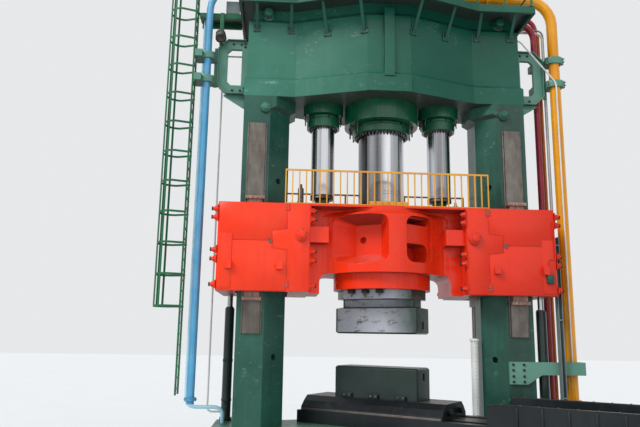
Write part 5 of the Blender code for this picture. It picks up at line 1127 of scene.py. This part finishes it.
print("rail foot bolts:", len(feet_bolts))

# %% [markdown]
# ## Landing beside the ladder
# A short landing joins the ladder's head to the walkway. Two channel beams carry it, a square hanger comes
# down from it to steady the pipes, and a floodlight hangs at the hanger's foot. A grey junction box stands
# on the landing. The lamp's hood is a bar with its open end inset and pushed in.

# %% Landing, hanger, box and lamp
landing = [plate(rectangle(-0.665, 0.665, -0.34, 0.34), 0.03, 0.004, at(-5.17, -0.06, 15.0))]
for y in (-0.40, 0.24):
    landing += [plate(rectangle(-5.80, -4.515, 14.84, 15.0), 0.03, 0.003, front(0, y + 0.03, 0)),
                plate(rectangle(-0.64, 0.64, -0.05, 0.05), 0.014, 0.003, at(-5.158, y + 0.015, 14.838))]
landing.append(plate(rectangle(-5.145, -5.025, 13.90, 14.99), 0.11, 0.010, front(0, -0.42, 0)))
keep(landing, "landing", "ladder_green")
lamp = draw_out(bar(0.15, 0.26, 20), [("scale", 1.15), ("inset", 0.018), ("lift", -0.07)],
                [("inset", 0.05), ("lift", -0.07)])
spread(soften(lamp, 0.006), [toward((-5.10, -0.66, 14.22), (0.15, -0.55, -1.0))], "floodlight")
YOKE = [(-0.14, 0), (0.14, 0), (0.14, 0.03), (0.03, 0.17), (-0.03, 0.17), (-0.14, 0.03)]
keep(plate(YOKE, 0.016, 0.003, front(-5.085, -0.532, 14.16)), "floodlight_yoke")
keep([plate(rectangle(-4.99, -4.57, 15.035, 15.46), 0.20, 0.012, front(0, -0.20, 0)),
      plate(rectangle(-4.965, -4.595, 15.06, 15.435), 0.012, 0.004, front(0, -0.40, 0))], "junction_box",
     "channel_grey")
print("landing built")

# %% [markdown]
# ## Rams: collars and travel marks
# A dark collar clamps each side ram to its stem, and two fine rings are scribed round the main ram as
# marks for setting its travel. A collar is a short bar a little wider than the ram; its middle is pulled
# in to form a groove, and its rims are bevelled.

# %% Collars and marks
def collar(radius, height, groove):
    """A grooved ring; the bar that it clamps fills its middle."""
    third = height / 3
    ring = draw_out(bar(radius, third, 40), [("lift", 0.0), ("scale", 1.0 - groove / radius), ("lift", third),
                                             ("lift", 0.0), ("scale", 1.0 + groove / (radius - groove)),
                                             ("lift", third)])
    return soften(ring, 0.004)


side_x, stem_z = middle("side_ram_left")[0], box_of["side_ram_left"][0].z - 0.05
spread(collar(half_width("side_ram_left") + 0.012, 0.12, 0.010), [at(side * side_x, 0, stem_z) for side in SIDES],
       "ram_collars", body="crosshead")
places = [at(0, 0, box_of["main_ram"][0].z + rise) for rise in (0.52, 0.60)]
spread(collar(half_width("main_ram") + 0.0015, 0.012, 0.001), places, "travel_marks", body="crosshead")
print("travel marks:", len(places))

# %% [markdown]
# ## Fittings of the crosshead
# Tread plates lie on the top, a yellow toe board stands behind the front guardrail, nuts sit in the
# corners of the tapered pocket, oil bottles stand behind the rails, and a small dark switch box with its
# conduit is screwed to the right housing.

# %% Treads, pocket nuts, bottles and switch box
top_z = box_of["crosshead_centre"][1].z
TREAD_SPOTS = [(x0, x1, y0, y1) for x0, x1 in ((-2.20, -1.12), (-1.10, -0.004), (0.004, 1.10), (1.12, 2.20))
               for y0, y1 in ((0.90, 1.24), (-1.24, -0.90))]
TREAD_SPOTS += [(side * 2.90 - 0.60, side * 2.90 + 0.60, y0, y1) for side in SIDES
                for y0, y1 in ((1.06, 1.38), (-1.38, -1.06))]
keep([plate(rectangle(*spot), 0.006, 0.002, at(0, 0, top_z)) for spot in TREAD_SPOTS], "crosshead_treads",
     "red_tread", "crosshead")
rail_low, rail_high = box_of["front_guardrail"]
board_y = rail_high.y + 0.011
board = plate(rectangle(-0.545, 0.575, rail_low.z + 0.014, rail_low.z + 0.154), 0.010, 0.002, front(0, board_y, 0))
board_bolts = [toward((x, board_y, rail_low.z + 0.11), (0, 1, 0)) for x in (-0.45, -0.15, 0.15, 0.45)]
keep([board, repeat(hex_bolt(0.014, 0.014), board_bolts)], "toe_board", "guard_yellow", "crosshead")

POCKET_TURN = Matrix.Rotation(radians(-31.0), 4, "Z")
POCKET_REACH = 1.3
pocket_nuts = []
for turn in (POCKET_TURN, HALF_TURN @ POCKET_TURN):
    for x in (-0.30, 0.30):
        for z in (top_z - 1.27, top_z - 0.57):
            spot, normal = touch("crosshead_centre", turn @ Vector((x, -3.0, z)), turn.to_3x3() @ Vector((0, 1, 0)))
            if spot.length < 3.0 and hypot(spot.x, spot.y) < POCKET_REACH:
                pocket_nuts.append(toward(spot, normal, 0.2))
if pocket_nuts:
    spread(hex_bolt(0.036, 0.04), pocket_nuts, "pocket_nuts", "crosshead_red", "crosshead")

NECK = ((0.80, 0.035), (0.45, 0.03), (1.0, 0.05), (1.25, 0.0), (1.0, 0.03))
neck_steps = [step for share, lift in NECK for step in (("lift", lift), ("scale", share))]
bottle = draw_out(bar(0.085, 0.48, 24, 0.03), neck_steps, [("lift", -0.03), ("scale", 1.3)])
spread(soften(bottle, 0.006), [at(x, y, top_z) for x, y in ((-2.52, -1.0), (-2.52, 1.0), (2.62, 1.0))],
       "oil_bottles", body="crosshead")

keep([plate(rectangle(4.50, 4.70, 6.60, 6.86), 0.09, 0.012, front(0, FACE_Y - 0.022, 0)),
      plate(rectangle(4.515, 4.685, 6.615, 6.845), 0.010, 0.003, front(0, FACE_Y - 0.112, 0))], "switch_box",
     "post_green", "crosshead")
CONDUIT = [(x, FACE_Y - 0.05, z) for x, z in ((4.60, 6.86), (4.60, 7.30), (4.79, 7.30), (4.79, 8.40))]
keep(pipe_run(CONDUIT, 0.014, 0.06, 8), "switch_conduit", "crosshead_red", "crosshead")
print("pocket nuts:", len(pocket_nuts))

# %% [markdown]
# ## Dies, holder and table
# The holder hangs from the crosshead on six studs with clamp blocks, and stops with cross bolts keep the
# lower die from sliding on its table. The table has a rubbing strip along each side and two lifting pins
# at each end. All of these lie along the table's direction, which is turned from the press's own axes, so
# they are placed in the table's axes and turned with it.

# %% Clamps, stops and lifting pins
TABLE_TURN = Matrix.Rotation(radians(-35.0), 4, "Z")
holder_z = box_of["upper_die_holder"][1].z
table_low, table_high = box_of["moving_table"]
bed_z = box_of["table_bed"][1].z


def on_table(along, across, z, direction=(0, 0, 1)):
    return TABLE_TURN @ toward((along, across, z), direction)


clamp_spots = [(along, side * 1.045) for along in (-0.45, 0.0, 0.45) for side in SIDES]
spread(block(0.17, 0.19, 0.11, 0.012), [on_table(a, c, holder_z - 0.002, (0, 0, -1)) for a, c in clamp_spots],
       "holder_clamps", "die_green", "crosshead")
spread(stud(0.038, 0.045, 0.10), [on_table(a, c, holder_z - 0.112, (0, 0, -1)) for a, c in clamp_spots],
       "holder_studs", body="crosshead")
stop_spots = [(along, side) for along in (-0.85, 0.0, 0.85) for side in SIDES]
spread(block(0.30, 0.085, 0.13, 0.012), [on_table(a, side * 0.546, table_high.z) for a, side in stop_spots],
       "die_stops", "table_steel", "table")
spread(hex_bolt(0.026, 0.03), [on_table(a + d, side * 0.589, table_high.z + 0.07, (0, side, 0))
                               for a, side in stop_spots for d in (-0.08, 0.08)], "stop_bolts", body="table")
pin = draw_out(bar(0.075, 0.07, 24), [("lift", 0.012), ("scale", 1.35), ("lift", 0.02)])
pins = [on_table(end * 2.20, side * 0.45, table_low.z + 0.24, (end, 0, 0)) for end in SIDES for side in SIDES]
spread(soften(pin, 0.006), pins, "lifting_pins", "table_steel", "table")
strips = [plate(rectangle(-2.16, 2.16, 0.012, 0.075), 0.010, 0.003,
                TABLE_TURN @ at(0, side * 0.93, bed_z) @ turn @ FACING_FRONT)
          for side, turn in ((-1, UNTURNED), (1, HALF_TURN))]
keep(strips, "rubbing_strips", "guide_steel", "table")
print("die stops:", len(stop_spots))

# %% [markdown]
# ## Slideway
# Outside the frame the table runs between raised walls. Wear strips are screwed along the tops of the
# walls, ribs stiffen their outer sides, and a cross bar with two rubber buffers ends the way.

# %% Wear strips, ribs and end stop
wall_top = box_of["slideway"][1].z
WAY_START, WAY_END = 3.62, 8.02
WALL_MIDDLE, WALL_OUTSIDE = 1.14, 1.238
STOP_THICKNESS = 0.16
WAY_BOLT_PAIRS = 10
FIRST_RIB, RIB_PITCH = 0.62, 0.60
RIB = [(0, 0), (0.075, 0), (0.03, 0.86), (0, 0.86)]
way_parts, way_bolts, ribs = [], [], []
for side in SIDES:
    wall = side * WALL_MIDDLE
    way_parts.append(plate(rectangle(WAY_START, WAY_END, wall - 0.065, wall + 0.065), 0.018, 0.004,
                           TABLE_TURN @ at(0, 0, wall_top)))
    for number in range(WAY_BOLT_PAIRS):
        along = WAY_START + 0.20 + number * (WAY_END - WAY_START - 0.40) / (WAY_BOLT_PAIRS - 1)
        way_bolts += [on_table(along, wall + d, wall_top + 0.018) for d in (-0.038, 0.038)]
    for number in range(7 if side < 0 else 6):
        foot = at(WAY_START + FIRST_RIB + number * RIB_PITCH, side * WALL_OUTSIDE, FLOOR_TOP + 0.01)
        turn = Matrix.Rotation(side * pi / 2, 4, "Z")
        ribs.append(plate(RIB, 0.05, 0.004, TABLE_TURN @ foot @ turn @ FACING_FRONT))
way_parts.append(plate(rectangle(-1.035, 1.035, 0.0, 0.34), STOP_THICKNESS, 0.012,
                       TABLE_TURN @ at(WAY_END, 0, bed_z) @ FACING_RIGHT @ at(0, 0, -STOP_THICKNESS)))
keep(way_parts, "way_strips", "table_steel")
keep(ribs, "way_ribs", "table_steel")
spread(hex_bolt(0.018, 0.016), way_bolts, "way_bolts")
places = [on_table(WAY_END - STOP_THICKNESS, side * 0.55, bed_z + 0.19, (-1, 0, 0)) for side in SIDES]
spread(collar(0.085, 0.12, 0.012), places, "way_buffers", "guide_steel")
print("way bolts:", len(way_bolts))

# %% [markdown]
# ## Return cylinders and stroke gauge
# Two long cylinders lift the crosshead. Each has a ring of bolts on its foot flange, two collars and a
# hexagon gland nut, all open in the middle for the ram. The gauge tube carries marks, long and short in
# turn, like a ruler.

# %% Glands, collars, foot bolts and scale
gland_nuts, foot_ring, weld_collars = [], [], []
for name in ("return_cylinder_right_front", "return_cylinder_left_rear"):
    low, high = box_of[name]
    gland_nuts.append(at(*middle(name), high.z))
    weld_collars += [at(*middle(name), low.z + rise) for rise in (0.55, 1.70)]
    foot_ring += ring_of(8, 0.165, middle(name), low.z + 0.08)
spread(sleeve(0.13, 0.045, 0.020, 6), gland_nuts, "return_gland_nuts")
spread(sleeve(0.154, 0.08, 0.020), weld_collars, "return_collars", "die_green")
spread(hex_bolt(0.014, 0.02), foot_ring, "return_foot_bolts")
low, high = box_of["gauge_tube"]
gauge_x, gauge_y = middle("gauge_tube")
MARK_COUNT, MARK_START, MARK_PITCH = 21, 0.35, 0.10
SHORT_MARK, LONG_MARK = 0.016, 0.030
marks = []
for number in range(MARK_COUNT):
    half = SHORT_MARK if number % 5 else LONG_MARK
    marks.append(plate(rectangle(-half, half, -0.004, 0.004), 0.004, 0.001,
                       front(gauge_x, low.y - 0.0005, low.z + MARK_START + number * MARK_PITCH)))
keep(marks, "gauge_marks")
spread(sleeve(half_width("gauge_tube") + 0.03, 0.06, 0.036),
       [at(gauge_x, gauge_y, z) for z in (low.z + 0.001, high.z - 0.075)], "gauge_collars", "gauge_white")
print("gauge marks:", MARK_COUNT)

# %% [markdown]
# ## Pipe flanges
# Thick pipes are made in lengths that are bolted together. A joint is a pair of flanges with a fine gap
# and a ring of through bolts. Joints are placed on the runs above the walkway and at the pipes' feet,
# where the lengths really end, and kept clear of the clamps.

# %% Flange pairs
def flange_pair(radius, bolts=8):
    """Two bolted flanges round a pipe, centred on the origin, along Z."""
    pair = [bar(radius * 1.62, radius * 0.30, 28, radius * (side * 0.17 - 0.15)) for side in SIDES]
    for half in pair:
        chamfer(half, radius * 0.05, lambda edge: abs(edge.verts[0].co.z - edge.verts[1].co.z) < 1e-5, 1)
    heads = ring_of(bolts, radius * 1.32, (0, 0), radius * 0.32)
    heads += [HALF_TURN @ Matrix.Rotation(pi, 4, "X") @ place for place in heads]
    return join(pair + [repeat(hex_bolt(radius * 0.14, radius * 0.14), heads)])


UP, ACROSS = (0, 0, 1), (1, 0, 0)
# pipe: radius, finish, where the pairs sit and which way the pipe runs there
FLANGES = {"yellow_pipe": (0.165, "pipe_yellow", [((5.46, -0.62, 3.28), UP), ((3.4, -0.62, 15.828), ACROSS)]),
           "blue_pipe": (0.11, "pipe_blue", [((-5.46, -0.62, 3.28), UP), ((-3.4, -0.62, 15.828), ACROSS)]),
           "red_pipe": (0.10, "pipe_red", [((5.10, 0.0, 3.28), UP), ((3.6, 0.0, 15.371), ACROSS)])}
for pipe_name, (radius, finish, spots) in FLANGES.items():
    spread(flange_pair(radius), [toward(*spot) for spot in spots], pipe_name + "_flanges", finish)
print("flanged pipes:", len(FLANGES))

# %% [markdown]
# ## Ladder joints
# Each hoop of the cage is bolted to both stiles of the ladder, and the rungs are welded in. The weld shows
# as a small rounded bead at each rung's end, which a short bar with a bevelled rim stands for.

# %% Hoop bolts and rung beads
FIRST_HOOP, HOOP_PITCH = 2.43, 0.90
FIRST_RUNG, RUNG_PITCH = 0.165, 0.30
low, high = box_of["ladder"]
hoop_bolts, beads = [], []
hoop_z = low.z + FIRST_HOOP
while hoop_z < high.z - 0.3:
    hoop_bolts += [toward((high.x, low.y + d, hoop_z), (1, 0, 0), 0.3) for d in (0.025, 0.475)]
    hoop_z += HOOP_PITCH
rung_z = low.z + FIRST_RUNG
while rung_z < high.z - 0.1:
    beads += [toward((middle("ladder")[0], y, rung_z), (0, way, 0))
              for y, way in ((low.y + 0.05, 1), (high.y - 0.05, -1))]
    rung_z += RUNG_PITCH
spread(hex_bolt(0.014, 0.014), hoop_bolts, "hoop_bolts")
spread(chamfer(bar(0.022, 0.014, 8), 0.006, at_height(0.014), 1), beads, "rung_beads", "ladder_green")
print("hoop bolts:", len(hoop_bolts), "rung beads:", len(beads))

# %% [markdown]
# ## Beam top and foot
# Locking plates keep the tie-rod nuts from turning, and anchor studs hold the lower beam to its footing.
# Along the upper beam's middle rib runs a rounded fillet, as every inside corner of a casting has. A thin
# round bar in the corner gives that roundness.

# %% Locking plates, anchor studs and fillets
LOCK_THICKNESS = 0.035
LOCK_REACH = 0.315
beam_top = box_of["upper_beam"][1].z
locks, lock_bolts = [], []
for name in ("left_front", "left_rear", "right_front", "right_rear"):
    nut_x, nut_y = middle("tie_rod_nut_" + name)
    for side in SIDES:
        x = nut_x + side * LOCK_REACH
        locks.append(plate(rectangle(-0.055, 0.055, -0.09, 0.09), LOCK_THICKNESS, 0.004, at(x, nut_y, beam_top)))
        lock_bolts += [toward((x, nut_y + d, beam_top + LOCK_THICKNESS), (0, 0, 1), d) for d in (-0.05, 0.05)]
keep(locks, "nut_locks")
spread(hex_bolt(0.020, 0.020), lock_bolts, "lock_bolts")
ANCHOR_REACHES = (-4.5, -3.7, -2.9, -2.1, -1.3, -0.45, 0.45, 1.3, 2.1, 2.9, 3.7, 4.5)
ANCHOR_GAP = 0.045
ANCHOR_SINK = Vector((0, 0, -0.02))
FILLET_X, FILLET_RADIUS = 0.162, 0.020
FILLET_FOOT, FILLET_HEAD = 13.0, 14.52
anchors = []
for side_y in SIDES:
    for x in ANCHOR_REACHES:
        web_y = from_front("lower_beam", x, 1.2, side_y)[0].y
        spot, _ = touch("lower_beam", (x, web_y + side_y * ANCHOR_GAP, 1.0), (0, 0, -1))
        anchors.append(toward(spot + ANCHOR_SINK, (0, 0, 1), x))
spread(stud(0.034, 0.045, 0.09), anchors, "anchor_studs")
fillets = []
for side_y in SIDES:
    for x in (-FILLET_X, FILLET_X):
        wall = from_front("upper_beam", x, 13.6, side_y)[0].y
        fillets.append(pipe_run([(x, wall, FILLET_FOOT), (x, wall, FILLET_HEAD)], FILLET_RADIUS, sides=8))
keep(fillets, "rib_fillets", "frame_green")
print("anchor studs:", len(anchors))
